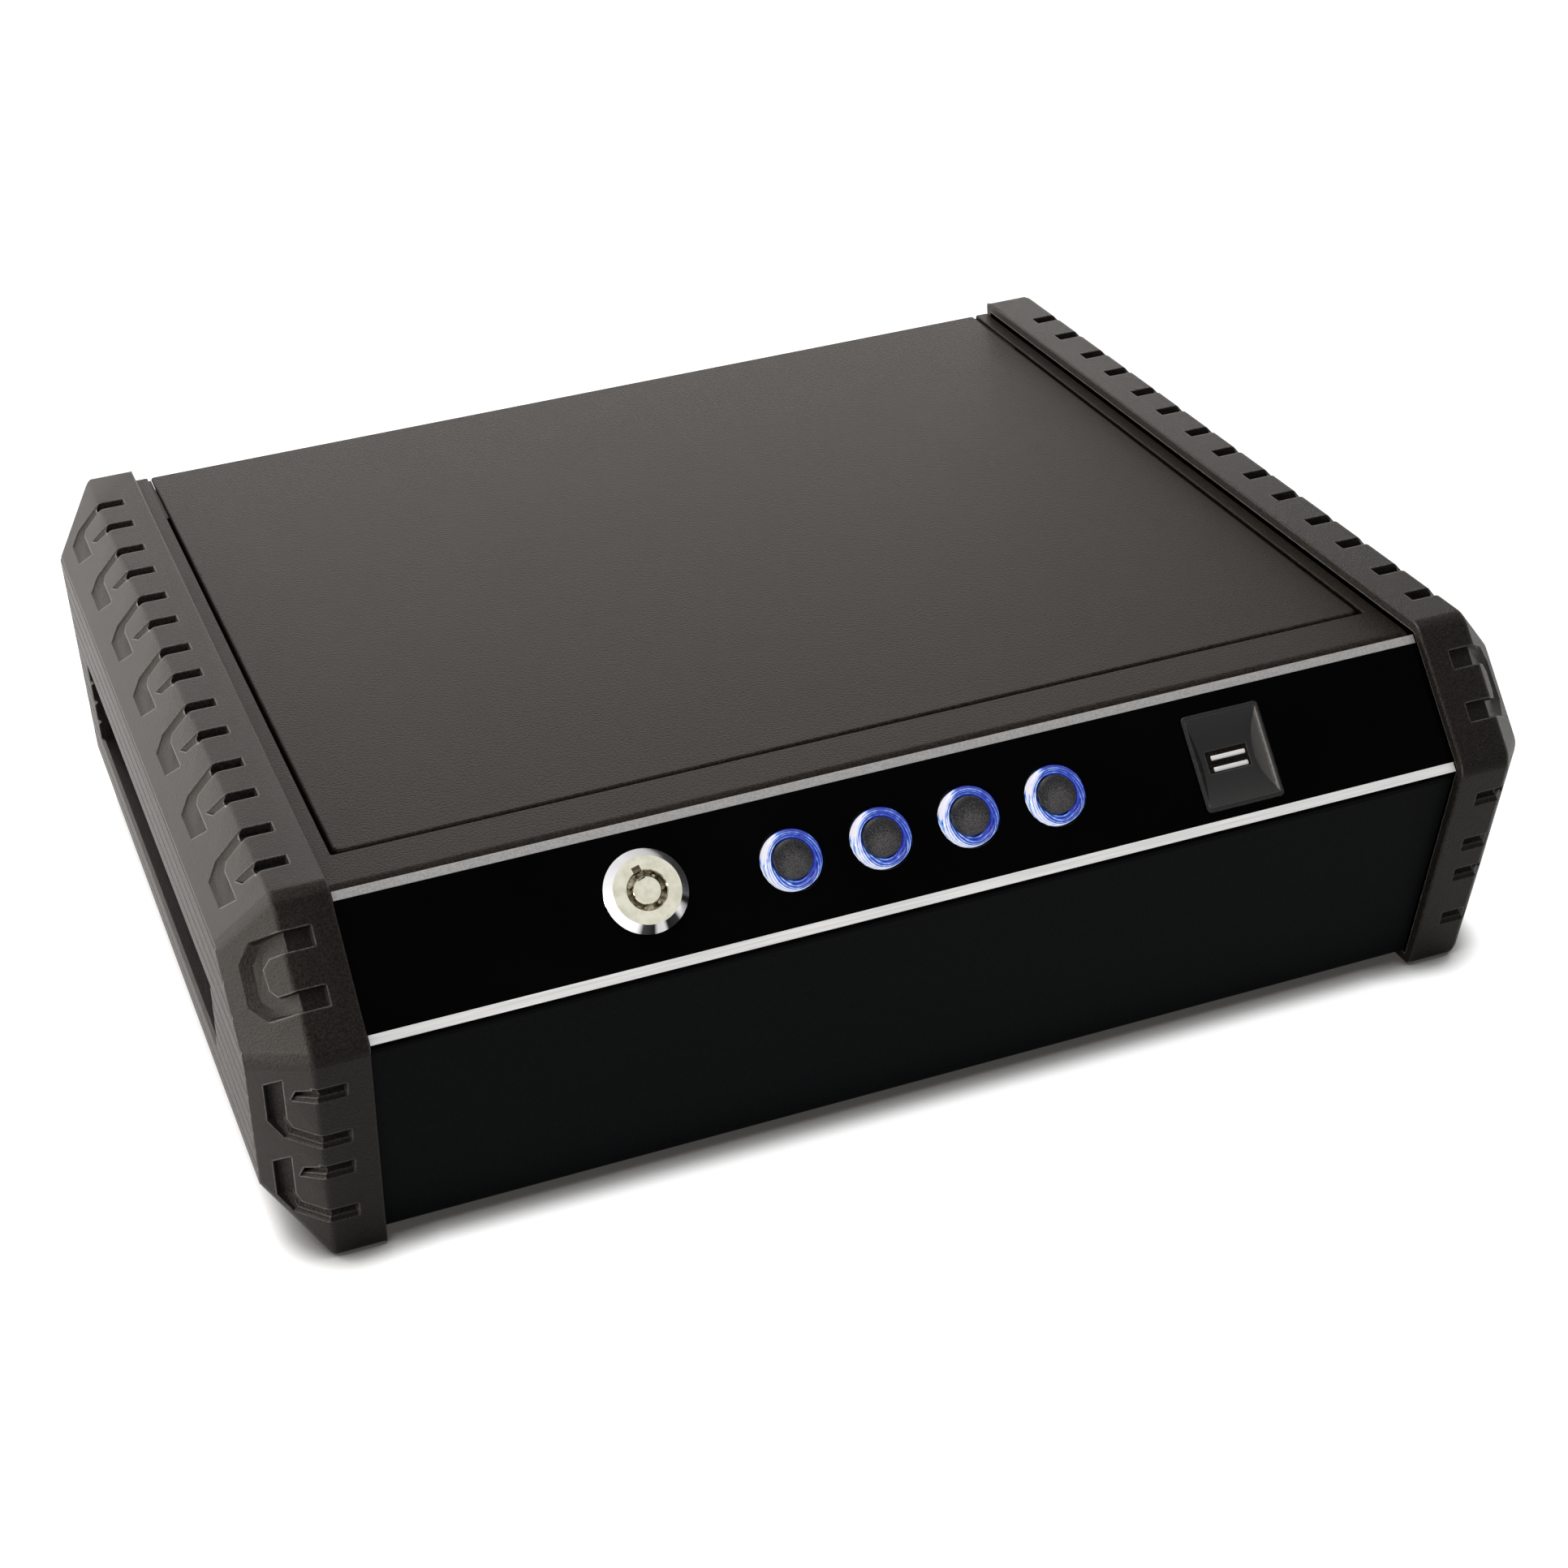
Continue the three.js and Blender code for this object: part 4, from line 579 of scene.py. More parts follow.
def foam_material():
    made = Surface("foam")
    pores, fine = made.cells(1.1), made.noise(0.6, 4.0)
    colour = made.ramp(pores, (0.05, (0.012, 0.012, 0.013)), (0.6, (0.045, 0.045, 0.048)))
    relief = made.bump(fine, 0.5, 0.3, under=made.bump(pores, 0.6, 0.5))
    return made.shaded(colour, made.spread(fine, 0.85, 1.0), relief, sheen=0.2, specular=0.2)


materials = {
    "powder_coat": grained(
        "powder_coat", (0.001, 0.0008, 0.0006), (0.021, 0.0163, 0.0123), grain=0.7, rough=(0.3, 0.5),
        bump=(0.9, 0.3), specular=0.052, tint=(1.0, 0.94, 0.89),
    ),
    "bumper_plastic": bumper_plastic(),
    "gloss_black": gloss_black(),
    "silver_trim": brushed(
        "silver_trim", (0.74, 0.75, 0.76), (0.9, 0.91, 0.92), stretch=(0.02, 1.0, 1.0), rough=(0.3, 0.42),
        metallic=0.25,
    ),
    "button_clear": lit_ring(),
    "button_grey": cap_grey(),
    "dark_plastic": grained(
        "dark_plastic", (0.0015, 0.0013, 0.0013), (0.005, 0.0045, 0.0045), grain=0.5, rough=(0.3, 0.38),
        # Lighter outer edges: edge wear and painted highlight
        bump=(0.25, 0.06), specular=0.27, edge=0.35, worn_and_highlit=((0.03, 0.028, 0.027), (0.1, 0.096, 0.093)),
    ),
    "lock_chrome": chrome("lock_chrome", (0.6, 0.58, 0.47), (0.74, 0.72, 0.6), size=3.0),
    "bare_steel": brushed(
        "bare_steel", (0.36, 0.36, 0.37), (0.52, 0.52, 0.53), stretch=(0.05, 1.0, 1.0), rough=(0.28, 0.45),
        metallic=1.0,
    ),
    "foam": foam_material(),
    "board_green": grained(
        "board_green", (0.012, 0.075, 0.032), (0.03, 0.13, 0.06), grain=3.0, rough=(0.3, 0.45),
        bump=(0.2, 0.05), specular=0.5,
    ),
    "cell_jacket": grained(
        "cell_jacket", (0.03, 0.034, 0.042), (0.06, 0.066, 0.08), grain=2.0, rough=(0.3, 0.4),
        bump=(0.1, 0.03), specular=0.5,
    ),
}
# Painted shade: the powder coat made darker and duller for the body's faces that turn to the front, away
# from the lamps
front_painted_shade = grained(
    "front_painted_shade", (0.004, 0.0044, 0.005), (0.0078, 0.0087, 0.0097), grain=0.6, rough=(0.4, 0.5),
    bump=(0.12, 0.03), specular=0.012,
)
upper_trim = brushed(
    "upper_trim", (0.3, 0.298, 0.3), (0.42, 0.417, 0.419), stretch=(1.0, 1.0, 1.0), rough=(0.35, 0.45),
    metallic=0.3,
)
lock_bevel_painted_reflection = chrome_with_painted_reflection()
lock_dark = chrome("lock_dark", (0.07, 0.06, 0.045), (0.42, 0.37, 0.27), size=1.2)
brass = chrome("brass", (0.42, 0.27, 0.06), (0.8, 0.6, 0.2), size=0.8)

# The record's finish and body of each node, and the nodes that a piece stands for so far
slots = {part["node"]: part["material_slot"] for part in frame["record"]["subparts"]}
body_of_node = {
    node: body for body, nodes in frame["record"]["behaviour"]["bodies"].items() for node in nodes
}
dressed = set()


def finished(obj, node):
    """The piece takes the node's finish and body, and stands for it."""
    slot = slots[node]
    obj.data.materials.clear()
    obj.data.materials.append(materials[slot])
    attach(obj, body_of_node[node])
    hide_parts(node)
    dressed.add(node)
    return obj


# Bumpers

def edge_class(edge):
    """Which rounding an edge of the bumper's loft takes, in millimetres."""
    a, b = (vert.co for vert in edge.verts)
    if abs(a.x - b.x) > EPS:
        corner = min(
            range(len(BUMPER["profile"])),
            key=lambda i: min(
                (Vector(BUMPER["profile"][i]) - Vector((end.y, end.z))).length for end in (a, b)
            ),
        )
        return BUMPER["corner_radii"][corner]
    if abs(a.x - BUMPER["inner"]) < EPS:
        return BUMPER["inner_radius"]
    if abs(a.x - BUMPER["ridge"]) < EPS:
        return BUMPER["ridge_radius"]
    return BUMPER["side_radius"]


def bumper_base():
    profile = BUMPER["profile"]
    side = inset_outline(profile, BUMPER["chamfers"])
    bm = bmesh.new()
    skinned(bm, [at_x(profile, BUMPER["inner"]), at_x(profile, BUMPER["ridge"]), at_x(side, HALF_WIDTH)])
    weights = bm.edges.layers.float.new("bevel_weight_edge")
    largest = max(BUMPER["corner_radii"])
    for edge in bm.edges:
        edge[weights] = edge_class(edge) / largest
    base = built("bumper_right_piece", bm)
    bevel = base.modifiers.new("round", "BEVEL")
    bevel.width = largest * MM
    bevel.segments = BUMPER["round_steps"]
    bevel.limit_method = "WEIGHT"
    bevel.use_clamp_overlap = False
    settled(base)
    for vert in base.data.vertices:
        vert.co.x = min(vert.co.x, HALF_WIDTH * MM)
    return cleaned(base, 0.02)


def bumper_hollow():
    """The hollow behind the wall, up to the wall behind the hand slot."""
    inner = inset_outline(BUMPER["profile"], [BUMPER["wall"]] * len(BUMPER["profile"]))
    slot_floor = HALF_WIDTH - SLOT["depth"] - BUMPER["wall"]
    bm = bmesh.new()
    skinned(bm, [at_x(inner, BUMPER["inner"] - OVERRUN), at_x(inner, slot_floor - OVERRUN)])
    return built("hollow", bm)


def band_planes(start, end, inset):
    """The band and the chamfer beside an edge: (origin, along, across, outwards) of each."""
    run = Vector((0.0, end[0] - start[0], end[1] - start[1])).normalized()
    inward = Vector((0.0, -run.z, run.y))
    middle = Vector((0.0, 0.0, sum(z for _, z in BUMPER["profile"]) / len(BUMPER["profile"])))
    origin = Vector((BUMPER["ridge"], *start))
    if inward.dot(middle - Vector((0.0, *start))) < 0:
        inward = -inward
    sideways = Vector((1.0, 0.0, 0.0))
    drop = HALF_WIDTH - BUMPER["ridge"]
    chamfer = (sideways * drop + inward * inset).normalized()
    chamfer_out = (sideways * inset - inward * drop).normalized()
    return (origin, run, sideways, -inward), (origin, run, chamfer, chamfer_out)


def groove(bm, plane, stations, depth):
    """A groove along stations of (outer edge, inner edge, section shares, share of the depth)."""
    origin, along, across, out = plane
    rings = []
    for outer, inner, section, share in stations:
        outer, inner = Vector(outer), Vector(inner)
        spots = [(outer, OVERRUN)]
        spots += [(outer.lerp(inner, way), -down * share * depth) for way, down in section]
        spots += [(inner, OVERRUN)]
        rings.append([origin + along * p.x + across * p.y + out * h for p, h in spots])
    skinned(bm, rings)


def arm(bm, band, at, section, depth):
    """The part of a mark on the flat band, with a leaning inner end."""
    reach = MARK["half_width"]
    ends = [(-MARK["arm"], 0.0), (-MARK["arm"] + MARK["end_lean"], 1.0), (MARK["miter"], 1.0)]
    stations = [((at + reach, c), (at - reach, c), section, share) for c, share in ends]
    groove(bm, band, stations, depth)


def shifted(stations, by, sections):
    """Stations moved along the band, each with its section."""
    return [
        ((outer[0] + by, outer[1]), (inner[0] + by, inner[1]), section, 1.0)
        for (outer, inner), section in zip(stations, sections)
    ]


def arm_of(bm, band, at, section, depth):
    """The arm of a hook or stub, which is deeper on top than on the front and back."""
    if section is WALL_SHARES:
        arm(bm, band, at, ARM_SHARES, depth * MARK["band_share"])
    else:
        arm(bm, band, at, section, depth * MARK["front_band_share"])


def mark_pairs(cutters, planes, first, pitch, count, section, depth):
    """Pairs of a stub and a hook, each with its arm."""
    tail = TILT_SHARES if section is WALL_SHARES else FRONT_TILT
    for i in range(count):
        stub, hook = first + pitch * i, first + pitch * i + MARK["pair_gap"]
        for at, outline, sections in ((stub, STUB, [section] * 3), (hook, HOOK, [section] * 3 + [tail] * 2)):
            arm_of(cutters[0], planes[0], at, section, depth)
            groove(cutters[1], planes[1], shifted(outline, at, sections), depth)


def mark_loop(cutters, planes, section, depth):
    """The loop on the slope, with two arms."""
    for at in LOOP_ARMS:
        arm(cutters[0], planes[0], at, section, depth)
    sections = [section] * 2 + [RAMP_SHARES] * 4 + [section] * 2
    groove(cutters[1], planes[1], shifted(LOOP, 0.0, sections), depth)


def mark_cutters():
    """The marks' parts on the bands and on the chamfers, as two meshes, because those parts overlap."""
    cutters = bmesh.new(), bmesh.new()
    profile, chamfers = BUMPER["profile"], BUMPER["chamfers"]
    top = band_planes(profile[TOP], profile[BACK_TOP], chamfers[BACK_TOP])
    slope = band_planes(profile[TOP], profile[NOSE], chamfers[TOP])
    front = band_planes(profile[NOSE], profile[FOOT], chamfers[NOSE])
    back = band_planes(profile[BACK_TOP], profile[BACK_FOOT], chamfers[BACK_FOOT])
    mark_loop(cutters, slope, ARM_SHARES, MARK["loop_depth"])
    mark_pairs(
        cutters, top, MARK["top_first"], MARK["top_pitch"], MARK["top_pairs"], WALL_SHARES, MARK["depth"],
    )
    for planes, first in ((front, MARK["front_first"]), (back, MARK["back_first"])):
        mark_pairs(
            cutters, planes, first, MARK["front_pitch"], MARK["front_pairs"], STEP_SHARES,
            MARK["front_depth"],
        )
    return [built(name, cutter) for name, cutter in zip(("band_marks", "chamfer_marks"), cutters)]


def rib_cutter():
    """The fine V grooves along the side."""
    bm = bmesh.new()
    side = inset_outline(BUMPER["profile"], BUMPER["chamfers"])
    half, depth, inset = RIB["width"] / 2, RIB["depth"], RIB["end_inset"]
    for i in range(RIB["count"]):
        level = RIB["lowest"] + RIB["pitch"] * i
        front, back = sorted(crossings(side, level))
        section = [
            (HALF_WIDTH + depth, level - 2 * half), (HALF_WIDTH, level - half), (HALF_WIDTH - depth, level),
            (HALF_WIDTH, level + half), (HALF_WIDTH + depth, level + 2 * half),
        ]
        skinned(bm, [[(x, y, z) for x, z in section] for y in (front + inset, back - inset)])
    return built("ribs", bm)


def crossings(outline, level):
    """Where an outline passes a level."""
    found = []
    for i, (y, z) in enumerate(outline):
        y2, z2 = outline[(i + 1) % len(outline)]
        if (z - level) * (z2 - level) < 0:
            found.append(y + (y2 - y) * (level - z) / (z2 - z))
    return found


def slot_cutter():
    """The hand slot, whose leaning front end steps back rib by rib."""
    outline = [(SLOT["front_low"] + SLOT["tip_lean"], SLOT["low"]), (SLOT["back"], SLOT["low"])]
    top = SLOT["low"] + SLOT["rib_count"] * RIB["pitch"]
    outline.append((SLOT["back"], top))
    for i in reversed(range(SLOT["rib_count"])):
        y = SLOT["front_low"] - SLOT["front_step"] * (i + 1)
        outline.append((y, SLOT["low"] + RIB["pitch"] * (i + 1)))
        outline.append((y + SLOT["tip_lean"], SLOT["low"] + RIB["pitch"] * i + EPS))
    outline.pop()
    bm = bmesh.new()
    skinned(bm, [at_x(outline, x) for x in (HALF_WIDTH - SLOT["depth"], HALF_WIDTH + OVERRUN)])
    return built("slot", bm)


def make_bumpers():
    right = carved(bumper_base(), bumper_hollow(), slot_cutter(), rib_cutter(), *mark_cutters())
    smoothed(tidied(right), angle=28.0)
    left = linked("bumper_left_piece", right.data.copy())
    left.data.transform(Matrix.Scale(-1.0, 4, (1.0, 0.0, 0.0)))
    left.data.flip_normals()
    finished(right, "bumper_right")
    finished(left, "bumper_left")


# Body, lid and buttons

def softened(node, width, segments=2, angle=32.0):
    """A piece with the node's own CAD shape and softened edges."""
    obj = linked(node + "_piece", frame["nodes"][node].data.copy())
    return finished(smoothed(rounded(tidied(obj, 0.004), width, segments, angle)), node)


def make_body():
    shell = softened("body_shell", width=0.45, segments=3, angle=40.0)
    # Faces turned to the front take the painted shade
    shell.data.materials.append(front_painted_shade)
    top = (FACE_ORIGIN.z - FRONT["below"]) * MM
    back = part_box("body_shell")[0].y + FRONT["reach"] * MM
    for face in shell.data.polygons:
        if face.center.z < top and face.center.y < back and face.normal.y < FRONT["facing"]:
            face.material_index = 1
    make_gap_ends(shell)
    softened("lid_panel", width=0.9, segments=4, angle=40.0)


def make_buttons():
    for i, x in enumerate(BUTTONS["places"]):
        for kind, profile in (("ring", ring_profile()), ("cap", cap_profile())):
            node = f"button_{kind}_{i + 1}"
            made = turned(node + "_piece", profile, BUTTONS["sides"], face_matrix(x, BUTTONS["slope"]))
            finished(smoothed(made, angle=50.0), node)


def arc(centre, radii, start, end, steps):
    """Points on an ellipse, from one angle to another in degrees."""
    spots = []
    for i in range(steps + 1):
        t = math.radians(start + (end - start) * i / steps)
        spots.append((centre[0] + radii[0] * math.cos(t), centre[1] + radii[1] * math.sin(t)))
    return spots


def ring_profile():
    """A clear ring with a broad outer roll and a small inner one."""
    crest, dip, inner, low = RING["crest"], RING["dip"], RING["inner"], RING["dip_rise"]
    outer = arc((crest, 0.0), (RING["outer"] - crest, RING["rise"]), 0.0, 90.0, steps=10)
    fall = arc((crest, low), (crest - dip, RING["rise"] - low), 90.0, 180.0, steps=8)
    middle = (dip + inner) / 2
    roll = arc((middle, low), (middle - inner, RING["inner_rise"] - low), 0.0, 180.0, steps=8)
    under = -FASCIA_THICKNESS
    return [(inner, under), (RING["outer"], under)] + outer + fall[1:] + roll[1:]


def cap_profile():
    """A domed cap with a flange under the fascia and a stem."""
    under = -FASCIA_THICKNESS - SEAT_GAP
    low = under - CAP["flange_height"]
    stem_end = low - CAP["stem_length"]
    radii = (CAP["radius"], CAP["rise"] - CAP["shoulder"])
    dome = arc((0.0, CAP["shoulder"]), radii, 0.0, 90.0, steps=16)
    dome[-1] = (0.0, CAP["rise"])
    return [
        (0.0, stem_end), (CAP["stem"], stem_end), (CAP["stem"], low), (CAP["flange"], low),
        (CAP["flange"], under), (CAP["radius"], under),
    ] + dome


# Key lock

def make_lock():
    """The head and the plug, each a turned piece with a notch for the key, and the plug's pins."""
    matrix = face_matrix(LOCK["x"], LOCK["slope"])
    floor, lip = LOCK["rise"] - LOCK["keyway"], LOCK["lip"]
    head = turned("key_lock_body_piece", [
        (LOCK["bore"], -LOCK["barrel_depth"]), (LOCK["barrel"], -LOCK["barrel_depth"]),
        (LOCK["barrel"], SEAT_GAP), (LOCK["head"], SEAT_GAP), (LOCK["head"], LOCK["edge"] - lip),
        (LOCK["head"] - lip, LOCK["edge"]), (LOCK["face"], LOCK["rise"]), (LOCK["plug"] + lip, LOCK["rise"]),
        (LOCK["plug"], LOCK["rise"] - lip), (LOCK["plug"], floor + lip), (LOCK["bore"], floor + lip),
    ], LOCK["head_sides"], matrix)
    plug = turned("key_lock_plug_piece", [
        (0.0, -LOCK["tail_depth"]), (LOCK["tail"], -LOCK["tail_depth"]), (LOCK["tail"], -LOCK["plug_depth"]),
        (LOCK["plug"], -LOCK["plug_depth"]), (LOCK["plug"], floor), (LOCK["post"], floor),
        (LOCK["post"], LOCK["post_rise"] - lip), (LOCK["post"] - lip, LOCK["post_rise"]),
        (0.0, LOCK["post_rise"]),
    ], LOCK["plug_sides"], matrix)
    half = LOCK["notch"] / 2
    across = matrix @ Matrix.Rotation(math.radians(LOCK["notch_turn"]), 4, "Z")
    for made, inner, outer, top in (
        (head, 0.0, LOCK["plug"] + LOCK["notch_depth"], LOCK["rise"]),
        (plug, LOCK["post"] - LOCK["notch_depth"] / 2, LOCK["bore"], LOCK["post_rise"]),
    ):
        notch = block((-half, inner, floor), (half, outer, top + OVERRUN), across)
        smoothed(tidied(carved(made, built("notch", notch))), angle=25.0)
    add_pins(plug, matrix, floor)
    finished(head, "key_lock_body")
    finished(plug, "key_lock_plug")
    for extra in (lock_bevel_painted_reflection, lock_dark):
        head.data.materials.append(extra)
    for extra in (lock_dark, brass):
        plug.data.materials.append(extra)
    middle = (LOCK["face"] + LOCK["head"]) / 2
    paint_lock(head, matrix, LOCK["plug"] + lip, middle - lip, (0, 1, 2))
    paint_lock(plug, matrix, LOCK["post"] + lip, middle, (0, 1, 1))


def paint_lock(obj, matrix, inner, outer, indexes):
    """Material slots by radius: the bright face, the bevel beyond it with its painted reflection, and the
    dark keyway inside it.
    """
    face, bevel, keyway = indexes
    place = matrix.inverted()
    for polygon in obj.data.polygons:
        if polygon.material_index:
            continue
        spots = [place @ (obj.data.vertices[i].co / MM) for i in polygon.vertices]
        radius = sum(math.hypot(spot.x, spot.y) for spot in spots) / len(spots)
        if obj.name.startswith("key_lock_plug"):
            top = min(spot.z for spot in spots) > LOCK["post_rise"] - LOCK["lip"] - EPS
            polygon.material_index = face if radius < inner and top else keyway
        else:
            sunk = min(spot.z for spot in spots) < LOCK["rise"] - 2 * LOCK["lip"] and radius < outer
            polygon.material_index = keyway if radius < inner or sunk else bevel if radius > outer else face


def add_pins(plug, matrix, floor):
    """Brass pins round the keyway's floor, as part of the plug."""
    bm = bmesh.new()
    bm.from_mesh(plug.data)
    for i in range(LOCK["pins"]):
        turn = math.tau * ((i + 0.5) / LOCK["pins"] + LOCK["turn_share"])
        spot = Vector((math.sin(turn), math.cos(turn), 0.0)) * LOCK["pin_ring"]
        height = LOCK["pin_rise"]
        place = matrix @ Matrix.Translation(spot + Vector((0.0, 0.0, floor + height / 2 - EPS)))
        made = bmesh.ops.create_cone(
            bm, cap_ends=True, segments=LOCK["pin_sides"], radius1=LOCK["pin"],
            radius2=LOCK["pin"] * LOCK["pin_top"], depth=height, matrix=Matrix.Scale(MM, 4) @ place,
        )
        for vert in made["verts"]:
            for face in vert.link_faces:
                face.material_index = 2
    bm.to_mesh(plug.data)
    bm.free()


# Reader, strips, springs and the rest

def face_ring(low_x, high_x, top, low, z):
    """Four corners of a rectangle in the fascia's frame, whose top and low sides are down the slope."""
    return [(low_x, -low, z), (high_x, -low, z), (high_x, -top, z), (low_x, -top, z)]


def round_ring(low_x, high_x, top, low, z):
    """The same rectangle with rounded corners."""
    radius, steps = READER["corner"], READER["corner_steps"]
    ring = []
    for i, (x, s) in enumerate(((low_x, low), (high_x, low), (high_x, top), (low_x, top))):
        middle = Vector((x + radius * (1 if x == low_x else -1), -s + radius * (1 if s == low else -1), z))
        for j in range(steps + 1):
            turn = math.radians(180 + 90 * i + 90 * j / steps)
            ring.append(tuple(middle + radius * Vector((math.cos(turn), math.sin(turn), 0.0))))
    return ring


def make_reader():
    """The reader's body with a scoop that is deepest at the bars and has leaning side walls."""
    half, inset = READER["half_width"], READER["body_inset"]
    seat, rise = READER["rise"] - READER["flange"], READER["rise"]
    top, low = READER["top"], READER["low"]
    body = lambda z: round_ring(-half + inset, half - inset, top + inset, low - inset, z)
    flange = lambda z: round_ring(-half, half, top, low, z)
    matrix = face_matrix(READER["middle"])
    bm = bmesh.new()
    skinned(bm, [body(-READER["body_depth"]), body(seat), flange(seat), flange(rise)])
    bm.transform(matrix)
    bezel = rounded(built("reader_bezel_piece", bm), width=0.45, segments=4, angle=30.0)
    pocket = bmesh.new()
    skinned(pocket, [face_ring(*READER["bar_pocket"], z) for z in (-READER["pocket_depth"], 0.0)])
    pocket.transform(matrix)
    carved(bezel, built("scoop", scoop(matrix)), built("pocket", pocket))
    finished(smoothed(tidied(bezel), angle=24.0), "reader_bezel")


def scoop(matrix):
    """The cutter of the finger's scoop, a hollow along the slope."""
    bm = bmesh.new()
    rings = []
    rise, steps = READER["rise"], READER["scoop_steps"]
    for i in range(steps + 1):
        u = READER["scoop_share"] * (2 * i / steps - 1)
        s = READER["scoop_middle"] + READER["scoop_reach"] * u
        floor, top = rise - READER["scoop_depth"] * (1 - u * u), rise + OVERRUN
        low = READER["scoop_half"] - READER["wall_lean"] * (rise - floor)
        high = READER["scoop_half"] + READER["wall_lean"] * OVERRUN
        rings.append([(-low, -s, floor), (low, -s, floor), (high, -s, top), (-high, -s, top)])
    skinned(bm, rings)
    bm.transform(matrix)
    return bm


def make_strips():
    """The bright strips: each lies in its groove under a slightly wider cover."""
    half, rise, lip, depth = STRIP["half_length"], STRIP["rise"], STRIP["lip"], STRIP["depth"]
    for node, (low, high) in STRIPS.items():
        outline = [
            (low + lip, -depth), (high - lip, -depth), (high - lip, 0.0), (high, 0.0), (high, rise),
            (low, rise), (low, 0.0), (low + lip, 0.0),
        ]
        bm = bmesh.new()
        skinned(bm, [[(x, -slope, z) for slope, z in outline] for x in (-half, half)])
        bm.transform(face_matrix())
        finished(smoothed(rounded(built(node + "_piece", bm), width=0.06, angle=40.0)), node)
    bpy.data.objects["trim_strip_upper_piece"].data.materials[0] = upper_trim


def make_bars():
    """The reader's two bright contact bars."""
    half, width = BAR["half_length"], BAR["half_width"]
    matrix = face_matrix(READER["middle"] + BAR["aside"])
    for node, slope in BARS.items():
        bm = block((-half, -slope - width, BAR["low"]), (half, -slope + width, BAR["high"]), matrix)
        bmesh.ops.subdivide_edges(bm, edges=bm.edges, cuts=3, use_grid_fill=True)
        finished(smoothed(rounded(built(node + "_piece", bm), width=0.4, segments=3, angle=60.0)), node)


def make_springs():
    """Wound springs in place of the sleeves, each as long and as thick as its sleeve."""
    along = Vector((1.0, 0.0, 0.0))
    spokes = [math.tau * j / SPRING_SIDES for j in range(SPRING_SIDES)]
    for node, (wire, turns) in SPRINGS.items():
        low, high = (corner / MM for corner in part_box(node))
        radius, reach = (high.y - low.y - wire) / 2, (high.x - low.x - wire) / 2
        steps = SPRING_STEPS * turns
        bm = bmesh.new()
        rings = []
        for i in range(steps + 1):
            turn = math.tau * turns * i / steps
            out = Vector((0.0, math.cos(turn), math.sin(turn)))
            spot = (low + high) / 2 + out * radius + along * (reach * (2 * i / steps - 1))
            rings.append([spot + (out * math.cos(t) + along * math.sin(t)) * (wire / 2) for t in spokes])
        skinned(bm, rings)
        finished(smoothed(built(node + "_piece", bm), angle=60.0), node)


def make_gap_ends(shell):
    """Ledges that close the back ends of the gap beside the lid, as part of the body."""
    bm = bmesh.new()
    bm.from_mesh(shell.data)
    for side in (-1.0, 1.0):
        ledge = block(*LEDGE)
        bmesh.ops.scale(ledge, vec=(side * MM, MM, MM), verts=ledge.verts)
        bmesh.ops.recalc_face_normals(ledge, faces=ledge.faces)
        spare = bpy.data.meshes.new("ledge")
        ledge.to_mesh(spare)
        ledge.free()
        bm.from_mesh(spare)
        bpy.data.meshes.remove(spare)
    bm.to_mesh(shell.data)
    bm.free()


def make_rest():
    """Every other node keeps its shape, with its edges softened where they show."""
    for node, width in SOFTENED.items():
        softened(node, width)
    for node, slot in slots.items():
        if node not in dressed:
            kept = frame["nodes"][node].data.materials
            kept.clear()
            kept.append(materials[slot])


def make_foam():
    """Foam pads: softly crowned blocks that fit the space of the solids."""
    inset = Vector([PAD["inset"] * MM] * 3)
    for node, fill in PADS.items():
        low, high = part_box(node)
        bm = block((low + inset) / MM, (high - inset) / MM)
        bmesh.ops.subdivide_edges(bm, edges=bm.edges, cuts=PAD["cuts"], use_grid_fill=True)
        pad = rounded(built(node + "_piece", bm), PAD["edge"], segments=4, angle=60.0, clamp=True)
        finished(smoothed(pad, angle=80.0), node)


# Studio

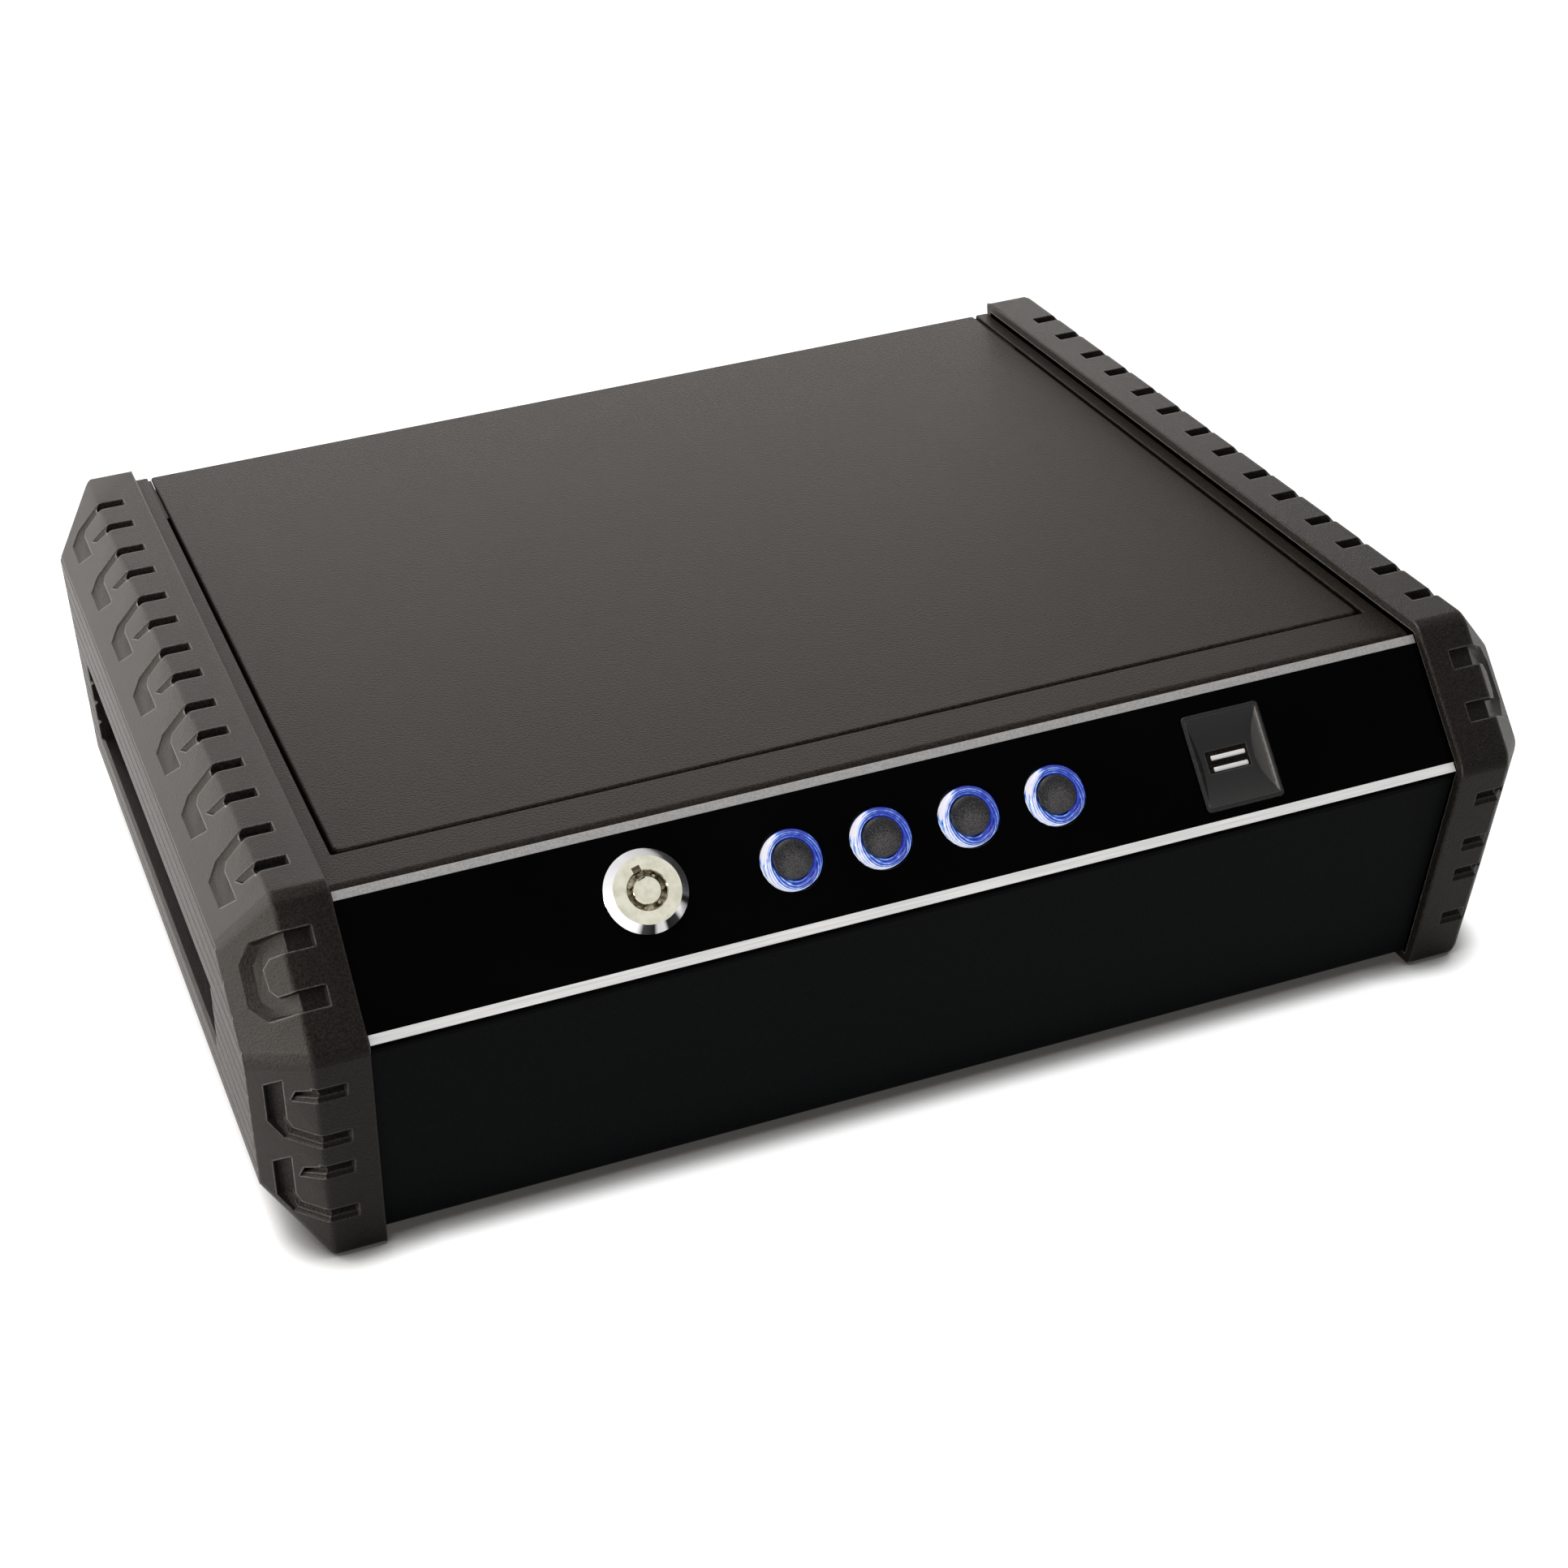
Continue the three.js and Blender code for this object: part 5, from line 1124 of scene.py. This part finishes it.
def make_floor():
    """A floor that is white wherever it is seen, but for the shadow close to the object."""
    bm = bmesh.new()
    bmesh.ops.create_grid(bm, x_segments=1, y_segments=1, size=FLOOR["half"])
    floor = built("floor", bm)
    made = Surface("floor")
    reach = {"Distance": FLOOR["shadow_reach"] * MM}
    near = made.add("ShaderNodeAmbientOcclusion", reach, samples=32).outputs["AO"]
    shadow = made.ramp(
        near, (0.3, (0.05, 0.048, 0.046)), (0.5, (0.24, 0.237, 0.235)), (0.78, (0.92, 0.92, 0.92)),
    )
    shade = made.ramp(near, (0.3, (0.06, 0.058, 0.056)), (0.78, (0.36, 0.36, 0.36)))
    diffuse = made.add("ShaderNodeBsdfDiffuse", {"Color": shade})
    lift = made.add("ShaderNodeEmission", {"Color": shadow, "Strength": made.seen()})
    both = made.add("ShaderNodeAddShader", {0: diffuse.outputs[0], 1: lift.outputs[0]})
    made.add("ShaderNodeOutputMaterial", {"Surface": both.outputs["Shader"]})
    floor.data.materials.append(made.material)


def make_world():
    """A world that is white wherever it is seen, and lights the object less than that."""
    world = bpy.data.worlds.new("studio")
    bpy.context.scene.world = world
    world.use_nodes = True
    made = Graph(world.node_tree)
    strength = made.spread(made.seen(), WORLD_LIGHT, 1.0, 0.0, 1.0)
    background = made.add("ShaderNodeBackground", {"Color": (1.0, 1.0, 1.0, 1.0), "Strength": strength})
    made.add("ShaderNodeOutputWorld", {"Surface": background.outputs["Background"]})


def make_lights():
    for name, (place, aim, size, watts) in LAMPS.items():
        data = bpy.data.lights.new(name, "AREA")
        data.shape = "RECTANGLE"
        data.size, data.size_y = size[0] * MM, size[1] * MM
        data.energy = watts
        data.color = LAMP_COLOUR
        lamp = linked(name, data)
        lamp.location = Vector(place) * MM
        lamp.rotation_mode = "QUATERNION"
        lamp.rotation_quaternion = (Vector(aim) - Vector(place)).to_track_quat("-Z", "Y")


def make_camera():
    data = bpy.data.cameras.new("camera")
    data.lens, data.sensor_width = CAMERA["lens"], CAMERA["sensor"]
    data.clip_start, data.clip_end = CAMERA["clip"]
    camera = linked("camera", data)
    aim = Vector(CAMERA["aim"]).normalized()
    level = aim.cross(Vector((0.0, 0.0, 1.0))).normalized()
    upright = level.cross(aim)
    roll = math.radians(CAMERA["roll"])
    right = level * math.cos(roll) + upright * math.sin(roll)
    up = upright * math.cos(roll) - level * math.sin(roll)
    columns = Matrix((right, up, -aim)).transposed().to_4x4()
    camera.matrix_world = Matrix.Translation(Vector(CAMERA["place"]) * MM) @ columns
    bpy.context.scene.camera = camera


make_camera()
make_bumpers()
make_body()
make_buttons()
make_lock()
make_reader()
make_bars()
make_strips()
make_springs()
make_rest()
make_foam()
make_floor()
make_world()
make_lights()
bpy.context.scene.view_settings.view_transform = "Standard"
